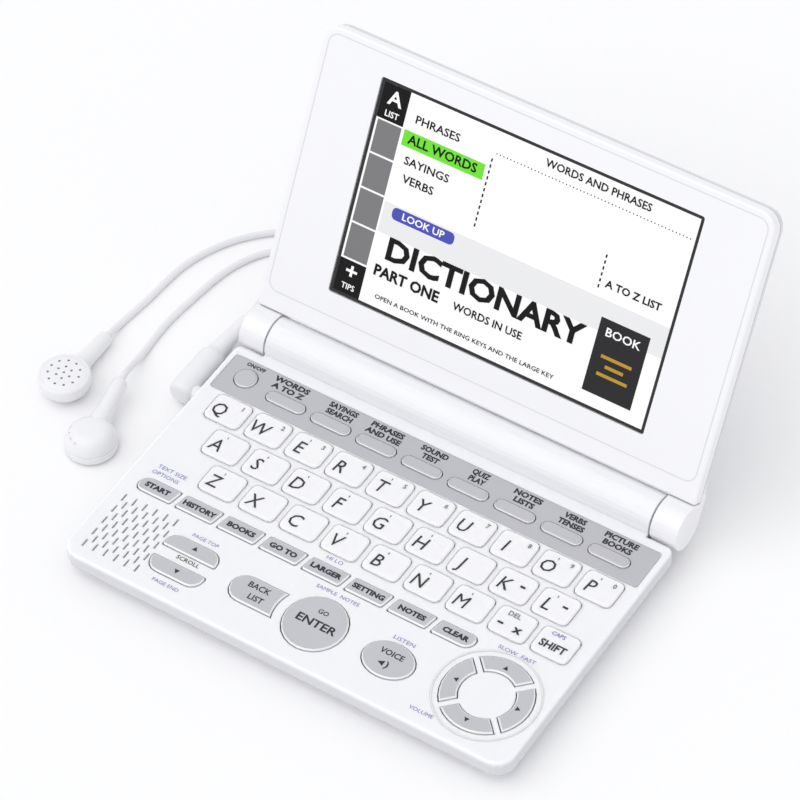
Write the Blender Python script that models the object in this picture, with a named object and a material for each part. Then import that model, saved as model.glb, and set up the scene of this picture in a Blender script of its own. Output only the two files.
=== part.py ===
# Electronic dictionary: a keyboard base, a display lid on a barrel hinge, and plugged-in earphones.
# Lengths are metres. X runs along the hinge, Y from the front edge to the back, Z up.
# Every place is measured from the middle of the base's front edge at table height;
# the last step centres the opened device on the origin.

import math

import bmesh
import bpy
import numpy as np
from mathutils import Matrix, Vector

# Overall size
body_width = 0.1485
hinge_y = 0.0970
base_height = 0.0090
foot_height = 0.0008
lid_length = 0.0970
lid_thickness = 0.0068
lid_open_angle = math.radians(119.5)
corner_radius = 0.0055
corner_steps = 4
round_end_steps = 3
wide_arc_steps = 8
narrow_arc_steps = 6
smooth_angle = math.radians(32)
merge_share = 0.01

# Casings
shell_wall = 0.0015
deck_thickness = 0.0016
floor_thickness = 0.0014
front_wall_height = 0.0050
underside_inset = 0.0042
rear_corner_radius = 0.0020
edge_radius = 0.0007
fit_gap = 0.0003
cut_overrun = 0.0010

# Hinge
hinge_rise = 0.0011
barrel_wall = 0.0012
barrel_steps = 16
knuckle_length = 0.0085
knuckle_running_gap = 0.0006
hinge_boss_bay_gap = 0.0030
hinge_boss_wall = 0.0020
pin_radius = 0.0025
pin_boss_share = 0.72
pin_clearance = 0.0001
pin_end_wall = 0.0016
arm_overlap = 0.0018
pin_segments = 20

# Rear of the base and battery bay
underside_rear_run = 0.0012
battery_radius = 0.00525
battery_length = 0.0445
battery_room = 0.00025
battery_nub_radius = 0.0019
battery_nub_length = 0.0008
battery_rim_radius = 0.0006
battery_segments = 20
battery_spacing = 0.0006
bay_end_room = 0.0030
battery_cover_depth_room = 0.0070

# Feet and posts
foot_radius = 0.0040
foot_segments = 20
post_segments = 12
foot_inset_x = 0.0140
foot_inset_front = 0.0130
foot_inset_rear = 0.0200
post_radius = 0.0022
post_inset_x = 0.0120
post_front_y = 0.0240
post_rear_y = 0.0560

# Inside stack
board_thickness = 0.0010
board_underside = 0.0036
board_inset = 0.0042
board_rear_inset = 0.0060
sheet_thickness = 0.0008
sheet_rib_width = 0.0030
chip_length = 0.0120
chip_width = 0.0100
chip_height = 0.0005
chip_y = 0.0450
chip_x = 0.0150

# Keys in common
opening_clearance = 0.00035
key_travel = 0.0007
key_proud = 0.0006
front_key_proud = 0.0005
key_skirt_gap = 0.0003
key_edge_radius = 0.0004
web_thickness = 0.0007
web_width = 0.0026

# Letter keys
letter_left_margin = 0.00555
letter_right_margin = 0.00345
letter_pitch_y = 0.01157
letter_row_y = 0.0666
letter_gap_x = 0.0021
letter_gap_y = 0.00187
letter_counts = (10, 9, 9)
letter_corner_radius = 0.0016
letter_stagger_share = 0.5

# Mode panel, power key and pill keys
panel_front_y = 0.0722
panel_depth = 0.0144
panel_side_inset = 0.0018
panel_recess = 0.0005
pill_count = 8
pill_left_inset = 0.02465
pill_right_inset = 0.01437
pill_spacing = 0.00264
pill_y = 0.0782
pill_width = 0.0038
power_inset = 0.00955
power_y = 0.0799
power_radius = 0.0034

# Function keys, the slanted row
function_count = 8
function_left_inset = 0.01175
function_right_inset = 0.03595
function_spacing = 0.0020
function_y = 0.0321
function_width = 0.0050
function_slant = 0.0010
function_corner_radius = 0.0007

# Front keys: all but the cursor ring grow with one step of the letter keys
page_place_share = -0.5549
page_extra_length = 0.00365
page_width = 0.0049
page_corner_radius = 0.0038
page_up_y = 0.01915
page_down_y = 0.01005
back_place_share = -0.2370
back_y = 0.0153
back_extra_length = 0.00185
back_width = 0.0092
back_enter_gap = 0.0035
enter_place_share = 0.0377
enter_y = 0.0151
enter_extra_width = 0.00505
voice_shift = 0.0007
voice_y = 0.0151
voice_extra_length = 0.00205
voice_half_width = 0.0061
cursor_margin = 0.00415
cursor_y = 0.0191
cursor_outer_radius = 0.0133
cursor_band = 0.0050
cursor_split = 0.0023
round_key_segments = 24

# Speaker and its grille
speaker_extra_inset = 0.0001
speaker_y = 0.0172
speaker_radius = 0.0095
speaker_height = 0.0030
speaker_dome_radius = 0.0062
speaker_cone_radius = 0.0056
speaker_cone_depth = 0.0005
speaker_segments = 24
slot_length = 0.0028
slot_width = 0.0006
slot_pitch_y = 0.0048
slot_columns = 11
slot_rows = 5
grille_y = 0.0153
grille_width_share = 1.29

# Earphone jack
jack_y = 0.0710
jack_z = 0.0046
jack_length = 0.0100
jack_width = 0.0056
jack_height = 0.0046
jack_bore_radius = 0.0019
jack_nose_radius = 0.00225
jack_side_inset = 0.0050
jack_segments = 16

# Display
display_left_inset = 0.02125
display_right_inset = 0.02085
display_bottom = 0.0206
display_top_inset = 0.0086
display_sink = 0.0005
display_flange = 0.0016
display_flange_thickness = 0.0014
bezel_thickness = 0.0014
inner_cover_height = 0.0034
lid_edge_radius = 0.0016

# Earphone plug
plug_shaft_radius = 0.00175
plug_shaft_length = 0.0140
plug_tip_length = 0.0018
plug_tip_radius = 0.0009
plug_collar_radius = 0.0026
plug_collar_length = 0.0018
plug_body_radius = 0.0035
plug_body_length = 0.0240
plug_body_nose_share = 0.45
plug_body_bevel_share = 0.3
plug_relief_end_radius = 0.0016
plug_relief_length = 0.0100
plug_relief_radius = 0.0022
plug_segments = 16
plug_collar_segments = 14
plug_shaft_segments = 12

# Earphone cords
cord_radius = 0.0010
cord_point_step = 0.0055
fine_steps = 24
coil_x = 0.0080
coil_y = 0.1540
coil_outer_radius = 0.0190
coil_turn_pitch = 0.00245
coil_turns_per_layer = 4
coil_layers = 2
coil_lead = 0.0240
coil_points_per_turn = 24
splitter_x = -0.0560
splitter_y = 0.1545
splitter_length = 0.0120
splitter_height = 0.0032
splitter_cord_end_width = 0.0034
splitter_branch_end_width = 0.0064
splitter_branch_offset = 0.0016

# Earbuds
bud_radius = 0.0079
bud_back_radius = 0.0050
bud_shoulder_radius = 0.0065
bud_shoulder_depth = 0.0064
bud_side_depth = 0.0036
bud_edge_depth = 0.0009
bud_edge_radius = 0.0074
bud_edge_drop = 0.0002
bud_face_radius = 0.0048
bud_depth = 0.0080
bud_segments = 20
stem_length = 0.0218
stem_axis_depth = 0.0038
stem_start_radius = 0.0026
stem_end_radius = 0.0023
stem_tip_bevel = 0.0006
stem_segments = 10
left_bud_x = -0.1127
left_bud_y = 0.0556
left_bud_heading = math.radians(91.5)
right_bud_x = -0.0936
right_bud_y = 0.0418
right_bud_heading = math.radians(101.0)

# Cord routes, chosen by hand: along the table, with the height of the cord's middle.
# Each one's ends are added where the piece that it meets stands.
main_cord_route = [
    (-0.0812, 0.1125, 0.0040),
    (-0.0826, 0.1190, 0.0026),
    (-0.0800, 0.1270, 0.0013),
    (-0.0720, 0.1325, 0.0010),
    (-0.0560, 0.1352, 0.0010),
    (-0.0360, 0.1354, 0.0010),
]
left_cord_route = [
    (-0.1134, 0.0850, 0.0010),
    (-0.1122, 0.0960, 0.0010),
    (-0.1105, 0.1137, 0.0010),
    (-0.1050, 0.1271, 0.0010),
    (-0.0969, 0.1368, 0.0010),
    (-0.0860, 0.1450, 0.0010),
    (-0.0760, 0.1535, 0.0012),
]
right_cord_route = [
    (-0.0997, 0.0720, 0.0034),
    (-0.1010, 0.0790, 0.0011),
    (-0.1018, 0.0910, 0.0010),
    (-0.1008, 0.1030, 0.0010),
    (-0.0986, 0.1176, 0.0010),
    (-0.0940, 0.1280, 0.0010),
    (-0.0880, 0.1346, 0.0010),
    (-0.0800, 0.1420, 0.0010),
    (-0.0740, 0.1495, 0.0012),
]
coil_tail_route = [
    (-0.0080, 0.1736, 0.0030),
    (-0.0220, 0.1690, 0.0012),
    (-0.0340, 0.1605, 0.0010),
    (-0.0420, 0.1554, 0.0013),
]

# Heights and places that follow from the sizes above
deck_z = foot_height + base_height
deck_under_z = deck_z - deck_thickness
parting_z = deck_z - front_wall_height
lower_rim_z = parting_z - fit_gap
floor_top_z = foot_height + floor_thickness
hinge_z = deck_z + hinge_rise
half_width = body_width / 2
barrel_half_length = half_width - knuckle_length - knuckle_running_gap
barrel_bore_radius = battery_radius + battery_room
barrel_radius = barrel_bore_radius + barrel_wall
hinge_boss_drop_radius = pin_radius + pin_clearance + hinge_boss_wall
base_depth = hinge_y - barrel_radius - knuckle_running_gap
lid_clear_v = barrel_radius + knuckle_running_gap
arm_v = lid_clear_v - fit_gap
lid_lean = math.pi - lid_open_angle
lid_rear_y = hinge_y + (lid_length - lid_edge_radius) * math.cos(lid_lean) \
    + (lid_thickness - lid_edge_radius) * math.sin(lid_lean) + lid_edge_radius
key_under_z = deck_under_z - key_skirt_gap
display_x_low = -half_width + display_left_inset
display_x_high = half_width - display_right_inset
display_v_low = display_bottom
display_v_high = lid_length - display_top_inset
sheet_under_z = board_underside + board_thickness + fit_gap
sheet_top_z = sheet_under_z + sheet_thickness
rib_top_z = key_under_z - key_travel - fit_gap
web_under_z = key_under_z - web_thickness
web_rib_top_z = web_under_z - key_travel - fit_gap
battery_middle_x = (battery_length + battery_nub_length + battery_spacing) / 2
bay_half_length = 2 * battery_middle_x + bay_end_room - battery_spacing / 2
hinge_boss_length = barrel_half_length - bay_half_length - hinge_boss_bay_gap
pin_length = knuckle_length - pin_end_wall - fit_gap + knuckle_running_gap + hinge_boss_length * pin_boss_share
trough_middle_y = hinge_y + underside_rear_run
trough_half_depth = barrel_radius - underside_rear_run
trough_rim_z = hinge_z - fit_gap
plug_side_x = -half_width - fit_gap
plug_body_x = plug_side_x - plug_collar_length - plug_body_radius
coil_start_y = coil_y - coil_outer_radius
letter_pitch_x = (body_width - letter_left_margin - letter_right_margin) / letter_counts[0]
letter_first_x = -half_width + letter_left_margin + letter_pitch_x / 2
pill_first_x = -half_width + pill_left_inset
pill_pitch = (half_width - pill_right_inset - pill_first_x) / (pill_count - 1)
pill_length = pill_pitch - pill_spacing
power_x = -half_width + power_inset
function_first_x = -half_width + function_left_inset
function_pitch = (half_width - function_right_inset - function_first_x) / (function_count - 1)
function_length = function_pitch - function_spacing
page_x = half_width * page_place_share
page_length = letter_pitch_x + page_extra_length
back_x = half_width * back_place_share
back_length = letter_pitch_x + back_extra_length
enter_x = half_width * enter_place_share
enter_radius = (letter_pitch_x + enter_extra_width) / 2
back_hollow_radius = enter_radius + back_enter_gap
voice_half_length = (letter_pitch_x + voice_extra_length) / 2
cursor_inner_radius = cursor_outer_radius - cursor_band
cursor_x = half_width - cursor_margin - cursor_outer_radius
voice_x = (enter_x + enter_radius + cursor_x - cursor_outer_radius) / 2 - voice_shift
speaker_x = -half_width + letter_pitch_x + speaker_extra_inset
slot_pitch_x = letter_pitch_x * grille_width_share / (slot_columns - 1)
coil_start_x = coil_x - coil_lead
stem_end_depth = bud_depth - stem_end_radius

white = (0.86, 0.86, 0.89)
key_white = (0.88, 0.88, 0.91)
silver = (0.62, 0.63, 0.66)
materials = {
    "white_shell": (white, 0.22, 0.0),
    "key_white": (key_white, 0.30, 0.0),
    "key_silver": (silver, 0.32, 0.45),
    "display_black": ((0.03, 0.03, 0.035), 0.12, 0.0),
    "board_green": ((0.06, 0.22, 0.12), 0.50, 0.0),
    "rubber_pale": ((0.74, 0.74, 0.77), 0.75, 0.0),
    "speaker_black": ((0.05, 0.05, 0.055), 0.60, 0.0),
    "battery_metal": ((0.55, 0.56, 0.58), 0.35, 0.8),
    "pin_steel": ((0.55, 0.55, 0.57), 0.30, 1.0),
    "cord_white": ((0.84, 0.84, 0.86), 0.45, 0.0),
    "bud_white": ((0.86, 0.86, 0.88), 0.28, 0.0),
    "plug_white": ((0.84, 0.84, 0.86), 0.35, 0.0),
}


def clear_scene():
    for item in list(bpy.data.objects):
        bpy.data.objects.remove(item, do_unlink=True)


def get_material(name):
    found = bpy.data.materials.get(name)
    if found:
        return found
    colour, roughness, metallic = materials[name]
    made = bpy.data.materials.new(name)
    made.use_nodes = True
    shader = made.node_tree.nodes["Principled BSDF"]
    shader.inputs["Base Color"].default_value = (*colour, 1.0)
    shader.inputs["Roughness"].default_value = roughness
    shader.inputs["Metallic"].default_value = metallic
    return made


def finish_mesh(bm, name):
    """Turn a bmesh into a named mesh with outward faces."""
    bmesh.ops.remove_doubles(bm, verts=bm.verts, dist=fit_gap * merge_share)
    bmesh.ops.recalc_face_normals(bm, faces=bm.faces)
    mesh = bpy.data.meshes.new(name)
    bm.to_mesh(mesh)
    bm.free()
    mesh.shade_smooth()
    mesh.set_sharp_from_angle(angle=smooth_angle)
    return mesh


def place(name, mesh, material, parent=None, location=(0, 0, 0)):
    """Give a mesh its object, material and place."""
    item = bpy.data.objects.new(name, mesh)
    bpy.context.scene.collection.objects.link(item)
    if not mesh.materials:
        mesh.materials.append(get_material(material))
    item.location = location
    item.parent = parent
    return item


def empty(name, parent=None, location=(0, 0, 0), rotation=(0, 0, 0)):
    item = bpy.data.objects.new(name, None)
    bpy.context.scene.collection.objects.link(item)
    item.location = location
    item.rotation_euler = rotation
    item.parent = parent
    return item


def solid(bm):
    """A loose solid, ready to be joined to a piece or cut from it."""
    mesh = finish_mesh(bm, "shape")
    item = bpy.data.objects.new("shape", mesh)
    bpy.context.scene.collection.objects.link(item)
    return item


def combine(item, tool_bm, operation):
    """Join a shape to a piece or cut it away, and keep the result as the piece's mesh."""
    tool = solid(tool_bm)
    tool.parent = item.parent
    change = item.modifiers.new("change", "BOOLEAN")
    change.operation = operation
    change.solver = "EXACT"
    change.object = tool
    bpy.context.view_layer.update()
    graph = bpy.context.evaluated_depsgraph_get()
    result = bpy.data.meshes.new_from_object(item.evaluated_get(graph))
    item.modifiers.clear()
    item.data = result
    bpy.data.objects.remove(tool, do_unlink=True)


def join(item, tool_bm):
    combine(item, tool_bm, "UNION")


def cut(item, tool_bm):
    combine(item, tool_bm, "DIFFERENCE")


def tidy(item, material):
    """Final mesh clean-up of a piece made by joining and cutting."""
    bm = bmesh.new()
    bm.from_mesh(item.data)
    bmesh.ops.triangulate(bm, faces=bm.faces)
    mesh = bpy.data.meshes.new(item.name)
    bm.to_mesh(mesh)
    bm.free()
    mesh.shade_smooth()
    mesh.set_sharp_from_angle(angle=smooth_angle)
    mesh.materials.append(get_material(material))
    item.data = mesh
    return item


def add_loft(bm, rings):
    """Close a stack of rings, each with the same count of points, into a solid."""
    rows = [[bm.verts.new(point) for point in ring] for ring in rings]
    count = len(rows[0])
    for low, high in zip(rows, rows[1:]):
        for i in range(count):
            j = (i + 1) % count
            bm.faces.new((low[i], low[j], high[j], high[i]))
    bm.faces.new(list(reversed(rows[0])))
    bm.faces.new(rows[-1])


def loft(rings):
    bm = bmesh.new()
    add_loft(bm, rings)
    return bm


def at_height(outline, z):
    return [(x, y, z) for x, y in outline]


def add_prism(bm, outline, z_low, z_high):
    add_loft(bm, [at_height(outline, z_low), at_height(outline, z_high)])


def prism(outline, z_low, z_high):
    return loft([at_height(outline, z_low), at_height(outline, z_high)])


def bar(profile, x_low, x_high):
    """A profile of (y, z) points drawn out along X."""
    return loft([[(x, y, z) for y, z in profile] for x in (x_low, x_high)])


def box(x_low, x_high, y_low, y_high, z_low, z_high):
    return prism([(x_low, y_low), (x_high, y_low), (x_high, y_high), (x_low, y_high)], z_low, z_high)


def arc(centre_x, centre_y, radius_x, radius_y, start, end, steps):
    points = []
    for i in range(steps + 1):
        angle = start + (end - start) * i / steps
        points.append((centre_x + radius_x * math.cos(angle), centre_y + radius_y * math.sin(angle)))
    return points


def circle(centre_x, centre_y, radius, segments, radius_y=None):
    return arc(centre_x, centre_y, radius, radius_y or radius, 0, 2 * math.pi, segments)[:-1]


def rounded_box(x_low, x_high, y_low, y_high, front_radius, rear_radius, inset=0.0, steps=corner_steps):
    """A rounded rectangle, counter-clockwise; an inset also tightens its corners."""
    x_low, x_high = x_low + inset, x_high - inset
    y_low, y_high = y_low + inset, y_high - inset
    front = max(front_radius - inset, edge_radius)
    rear = max(rear_radius - inset, edge_radius)
    quarter = math.pi / 2
    points = arc(x_low + front, y_low + front, front, front, math.pi, math.pi + quarter, steps)
    points += arc(x_high - front, y_low + front, front, front, -quarter, 0, steps)
    points += arc(x_high - rear, y_high - rear, rear, rear, 0, quarter, steps)
    points += arc(x_low + rear, y_high - rear, rear, rear, quarter, math.pi, steps)
    return points


def lathe(profile, segments):
    """Turn (radius, z) points about Z; the first and last radius are zero."""
    bm = bmesh.new()
    low = bm.verts.new((0, 0, profile[0][1]))
    high = bm.verts.new((0, 0, profile[-1][1]))
    rings = []
    for radius, z in profile[1:-1]:
        rings.append([bm.verts.new((x, y, z)) for x, y in circle(0, 0, radius, segments)])
    for i in range(segments):
        j = (i + 1) % segments
        bm.faces.new((low, rings[0][j], rings[0][i]))
        bm.faces.new((high, rings[-1][i], rings[-1][j]))
        for lower, upper in zip(rings, rings[1:]):
            bm.faces.new((lower[i], lower[j], upper[j], upper[i]))
    return bm


def turned(profile, segments, matrix):
    bm = lathe(profile, segments)
    bmesh.ops.transform(bm, matrix=matrix, verts=bm.verts)
    return bm


def rod(profile, segments, start, direction):
    """A turned shape whose z runs from a start point along a direction."""
    turn = Vector(direction).to_track_quat("Z", "Y").to_matrix().to_4x4()
    return turned(profile, segments, Matrix.Translation(start) @ turn)


# Outlines of the keys, each about its own place on the deck

def pill_outline(x, grow=0.0):
    half = pill_length / 2 + grow
    radius = pill_width / 2 + grow
    return rounded_box(x - half, x + half, pill_y - radius, pill_y + radius, radius, radius,
                       steps=round_end_steps)


def power_outline(grow=0.0):
    return circle(power_x, power_y, power_radius + grow, round_key_segments)


def letter_outline(grow=0.0):
    half_x = (letter_pitch_x - letter_gap_x) / 2 + grow
    half_y = (letter_pitch_y - letter_gap_y) / 2 + grow
    radius = letter_corner_radius + grow
    return rounded_box(-half_x, half_x, -half_y, half_y, radius, radius, steps=2)


def slanted(points, middle_y, slant):
    return [(x + slant * (y - middle_y) / function_width, y) for x, y in points]


def function_outline(index, grow=0.0):
    """A leaning key; the row's first and last keys have one round end."""
    x = function_first_x + index * function_pitch
    half = function_length / 2 + grow
    half_y = function_width / 2 + grow
    left = half_y if index == 0 else function_corner_radius
    right = half_y if index == function_count - 1 else function_corner_radius
    quarter = math.pi / 2
    low, high = function_y - half_y, function_y + half_y
    points = arc(x - half + left, low + left, left, left, math.pi, math.pi + quarter, round_end_steps)
    points += arc(x + half - right, low + right, right, right, -quarter, 0, round_end_steps)
    points += arc(x + half - right, high - right, right, right, 0, quarter, round_end_steps)
    points += arc(x - half + left, high - left, left, left, quarter, math.pi, round_end_steps)
    return slanted(points, function_y, function_slant)


def page_outline(middle_y, up, grow=0.0):
    half = page_length / 2 + grow
    half_y = page_width / 2 + grow
    flat = key_edge_radius
    front = flat if up else page_corner_radius + grow
    rear = page_corner_radius + grow if up else flat
    return rounded_box(page_x - half, page_x + half, middle_y - half_y, middle_y + half_y, front, rear)


def back_outline(grow=0.0):
    """Round at its left end and hollow towards the enter key."""
    half_y = back_width / 2 + grow
    left_x = back_x - back_length / 2 - grow
    hollow = back_hollow_radius - grow
    reach = math.asin(half_y / hollow)
    quarter = math.pi / 2
    points = arc(left_x + half_y, back_y, half_y, half_y, quarter, 3 * quarter, wide_arc_steps)
    points += arc(enter_x, back_y, hollow, hollow, math.pi + reach, math.pi - reach, narrow_arc_steps)
    return points


def enter_outline(grow=0.0):
    return circle(enter_x, enter_y, enter_radius + grow, round_key_segments)


def voice_outline(grow=0.0):
    return circle(voice_x, voice_y, voice_half_length + grow, round_key_segments, voice_half_width + grow)


def cursor_outline(index, grow=0.0):
    """One quarter of the ring, with straight even splits to its neighbours."""
    outer = cursor_outer_radius + grow
    inner = cursor_inner_radius - grow
    half_split = cursor_split / 2 - grow
    middle = index * math.pi / 2
    outer_reach = math.pi / 4 - math.asin(half_split / outer)
    inner_reach = math.pi / 4 - math.asin(half_split / inner)
    ends = (middle - outer_reach, middle + outer_reach)
    points = arc(cursor_x, cursor_y, outer, outer, *ends, wide_arc_steps)
    ends = (middle + inner_reach, middle - inner_reach)
    points += arc(cursor_x, cursor_y, inner, inner, *ends, narrow_arc_steps)
    return points


def shrink(outline, inset):
    """Move every point of an outline inwards by an inset, square to its two sides."""
    count = len(outline)
    moved = []
    for i in range(count):
        before, here, after = (Vector(outline[k % count]) for k in (i - 1, i, i + 1))
        first = (here - before).normalized()
        second = (after - here).normalized()
        normal = Vector((-(first.y + second.y), first.x + second.x)).normalized()
        lean = max(normal.dot(Vector((-first.y, first.x))), 0.5)
        moved.append(tuple(here + normal * (inset / lean)))
    return moved


def add_cap(bm, outline, z_low, z_high):
    """A key cap with a softened upper edge."""
    inner = shrink(outline, key_edge_radius)
    add_loft(bm, [
        at_height(outline, z_low),
        at_height(outline, z_high - key_edge_radius),
        at_height(inner, z_high),
    ])


def centred(outline, x, y):
    return [(px - x, py - y) for px, py in outline]


def letter_places():
    """Row by row, the middle of each letter key."""
    rows = []
    for row, count in enumerate(letter_counts):
        first = letter_first_x + row * letter_stagger_share * letter_pitch_x
        y = letter_row_y - row * letter_pitch_y
        rows.append([(first + i * letter_pitch_x, y) for i in range(count)])
    return rows


def front_keys():
    """Name, outline maker and middle of each key on the front part of the deck."""
    keys = [
        ("page_up_key", lambda grow: page_outline(page_up_y, True, grow), page_x, page_up_y),
        ("page_down_key", lambda grow: page_outline(page_down_y, False, grow), page_x, page_down_y),
        ("back_key", back_outline, back_x, back_y),
        ("enter_key", enter_outline, enter_x, enter_y),
        ("voice_key", voice_outline, voice_x, voice_y),
    ]
    for index, side in enumerate(("right", "up", "left", "down")):
        name = f"cursor_{side}_key"
        keys.append((name, lambda grow, n=index: cursor_outline(n, grow), cursor_x, cursor_y))
    return keys


# Casings of the base

def base_outline(inset=0.0):
    return rounded_box(-half_width, half_width, 0, base_depth, corner_radius, rear_corner_radius, inset)


def barrel_profile():
    """The upper half of the barrel and the foot that ties it to the deck."""
    start = math.pi + math.asin(hinge_rise / barrel_radius)
    outer = arc(hinge_y, hinge_z, barrel_radius, barrel_radius, start, 0, barrel_steps)
    inner = arc(hinge_y, hinge_z, barrel_bore_radius, barrel_bore_radius, 0, math.pi, barrel_steps)
    overlap_y = base_depth - shell_wall
    foot_y = hinge_y - barrel_bore_radius
    return [(overlap_y, deck_under_z), (overlap_y, deck_z)] + outer + inner + [(foot_y, deck_under_z)]


def boss_profile():
    """The solid end of the barrel that the hinge pin turns in."""
    upper_radius = (barrel_radius + barrel_bore_radius) / 2
    upper = arc(hinge_y, hinge_z, upper_radius, upper_radius, 0, math.pi, barrel_steps)
    drop = hinge_boss_drop_radius
    lower = arc(hinge_y, hinge_z, drop, drop, math.pi, 2 * math.pi, barrel_steps)
    return upper + lower


def deck_cutters():
    """Everything that opens through the deck, as one group of shapes that don't meet."""
    bm = bmesh.new()
    low, high = deck_under_z - cut_overrun, deck_z + cut_overrun
    outlines = [power_outline(opening_clearance)]
    for row in letter_places():
        outlines += [centred(letter_outline(opening_clearance), -x, -y) for x, y in row]
    for i in range(pill_count):
        outlines.append(pill_outline(pill_first_x + i * pill_pitch, opening_clearance))
    for i in range(function_count):
        outlines.append(function_outline(i, opening_clearance))
    for name, outline_maker, x, y in front_keys():
        outlines.append(outline_maker(opening_clearance))
    outlines += grille_slots()
    for outline in outlines:
        add_prism(bm, outline, low, high)
    return bm


def grille_slots():
    """Staggered short slots over the speaker."""
    slots = []
    for column in range(slot_columns):
        shift = slot_pitch_y / 2 * (column % 2)
        rows = slot_rows - column % 2
        x = speaker_x + (column - (slot_columns - 1) / 2) * slot_pitch_x
        for row in range(rows):
            y = grille_y + (row - (slot_rows - 1) / 2) * slot_pitch_y + shift
            half_x, half_y = slot_width / 2, slot_length / 2
            slots.append([(x - half_x, y - half_y), (x + half_x, y - half_y),
                          (x + half_x, y + half_y), (x - half_x, y + half_y)])
    return slots


def jack_hole():
    """The round hole in the left wall, in line with the jack."""
    points = circle(jack_y, jack_z, jack_nose_radius + fit_gap, jack_segments)
    return bar(points, -half_width - cut_overrun, -half_width + jack_side_inset)


def make_base_top_cover(parent):
    soft = edge_radius * (1 - math.sqrt(0.5))
    rings = [
        at_height(base_outline(), parting_z),
        at_height(base_outline(), deck_z - edge_radius),
        at_height(base_outline(soft), deck_z - soft),
        at_height(base_outline(edge_radius), deck_z),
    ]
    item = place("base_top_cover", finish_mesh(loft(rings), "base_top_cover"), "white_shell", parent)
    cut(item, prism(base_outline(shell_wall), parting_z - cut_overrun, deck_under_z))
    join(item, bar(barrel_profile(), -barrel_half_length, barrel_half_length))
    for side in (-1, 1):
        ends = sorted((side * barrel_half_length, side * (barrel_half_length - hinge_boss_length)))
        join(item, bar(boss_profile(), *ends))
    bore = circle(hinge_y, hinge_z, pin_radius + pin_clearance, pin_segments)
    for side in (-1, 1):
        ends = sorted((side * (barrel_half_length + cut_overrun),
                       side * (barrel_half_length - hinge_boss_length - cut_overrun)))
        cut(item, bar(bore, *ends))
    panel = rounded_box(-half_width + panel_side_inset, half_width - panel_side_inset,
                        panel_front_y, panel_front_y + panel_depth, edge_radius, edge_radius, steps=2)
    cut(item, prism(panel, deck_z - panel_recess, deck_z + cut_overrun))
    cut(item, deck_cutters())
    cut(item, jack_hole())
    return tidy(item, "white_shell")


def trough_profile(inset, rim_z, front_y):
    """The rounded rear of the underside, from its flat to its rim behind the hinge."""
    bottom = foot_height + inset
    outer = arc(trough_middle_y, trough_rim_z, trough_half_depth - inset, trough_rim_z - bottom,
                -math.pi / 2, 0, wide_arc_steps)
    points = [(front_y, bottom)] + outer
    if rim_z > trough_rim_z:
        points.append((outer[-1][0], rim_z))
    return points


def make_base_bottom_cover(parent):
    rings = [at_height(base_outline(underside_inset), foot_height), at_height(base_outline(), lower_rim_z)]
    item = place("base_bottom_cover", finish_mesh(loft(rings), "base_bottom_cover"), "white_shell", parent)
    rear_front_y = base_depth - underside_inset - shell_wall
    trough = trough_profile(0, trough_rim_z, rear_front_y)
    trough += [(base_depth + fit_gap, trough_rim_z), (base_depth + fit_gap, lower_rim_z),
               (rear_front_y, lower_rim_z)]
    join(item, bar(trough, -barrel_half_length, barrel_half_length))
    drop = (floor_thickness / (lower_rim_z - foot_height)) * underside_inset
    cavity = [
        at_height(base_outline(shell_wall + underside_inset - drop), floor_top_z),
        at_height(base_outline(shell_wall), lower_rim_z),
        at_height(base_outline(shell_wall), lower_rim_z + cut_overrun),
    ]
    cut(item, loft(cavity))
    hollow_front_y = hinge_y - barrel_bore_radius
    hollow = trough_profile(barrel_wall, trough_rim_z + cut_overrun, base_depth - underside_inset)
    hollow += [(hollow_front_y, trough_rim_z + cut_overrun), (hollow_front_y, lower_rim_z + cut_overrun),
               (base_depth - underside_inset, lower_rim_z + cut_overrun)]
    hollow_half = barrel_half_length - barrel_wall
    cut(item, bar(hollow, -hollow_half, hollow_half))
    boss_under_z = hinge_z - hinge_boss_drop_radius - fit_gap
    cut(item, box(-half_width, half_width, hollow_front_y, hinge_y + barrel_bore_radius,
                  boss_under_z, trough_rim_z + cut_overrun))
    over_deck = box(-half_width, half_width, 0, hinge_y - barrel_bore_radius + cut_overrun,
                    lower_rim_z, deck_z + cut_overrun)
    cut(item, over_deck)
    bay_rear_y = hinge_y + barrel_radius + cut_overrun
    cut(item, box(-bay_half_length, bay_half_length, battery_door_front(), bay_rear_y,
                  -cut_overrun, trough_rim_z + cut_overrun))
    for x in (-1, 1):
        for y in (foot_inset_front, base_depth - foot_inset_rear):
            join(item, prism(circle(x * (half_width - foot_inset_x), y, foot_radius, foot_segments),
                             0, foot_height + floor_thickness / 2))
        for y in (post_front_y, post_rear_y):
            join(item, prism(circle(x * (half_width - post_inset_x), y, post_radius, post_segments),
                             foot_height + floor_thickness / 2, board_underside - fit_gap))
    cut(item, jack_hole())
    return tidy(item, "white_shell")


def battery_door_front():
    return hinge_y - battery_cover_depth_room


def make_battery_cover(parent):
    half = bay_half_length - fit_gap
    front_y = battery_door_front() + fit_gap
    outer = trough_profile(0, trough_rim_z, front_y)
    inner = trough_profile(barrel_wall, trough_rim_z, front_y)
    profile = outer + list(reversed(inner))
    mesh = finish_mesh(bar(profile, -half, half), "battery_cover")
    return place("battery_cover", mesh, "white_shell", parent)


def make_battery(name, parent, x):
    """A small round cell lying along the barrel."""
    half = battery_length / 2
    rim = battery_rim_radius
    profile = [
        (0, -half), (battery_radius - rim, -half), (battery_radius, -half + rim),
        (battery_radius, half - rim), (battery_radius - rim, half),
        (battery_nub_radius, half), (battery_nub_radius, half + battery_nub_length),
        (0, half + battery_nub_length),
    ]
    bm = turned(profile, battery_segments, Matrix.Rotation(math.pi / 2, 4, "Y"))
    return place(name, finish_mesh(bm, name), "battery_metal", parent, (x, hinge_y, hinge_z))


# Inside of the base

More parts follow.
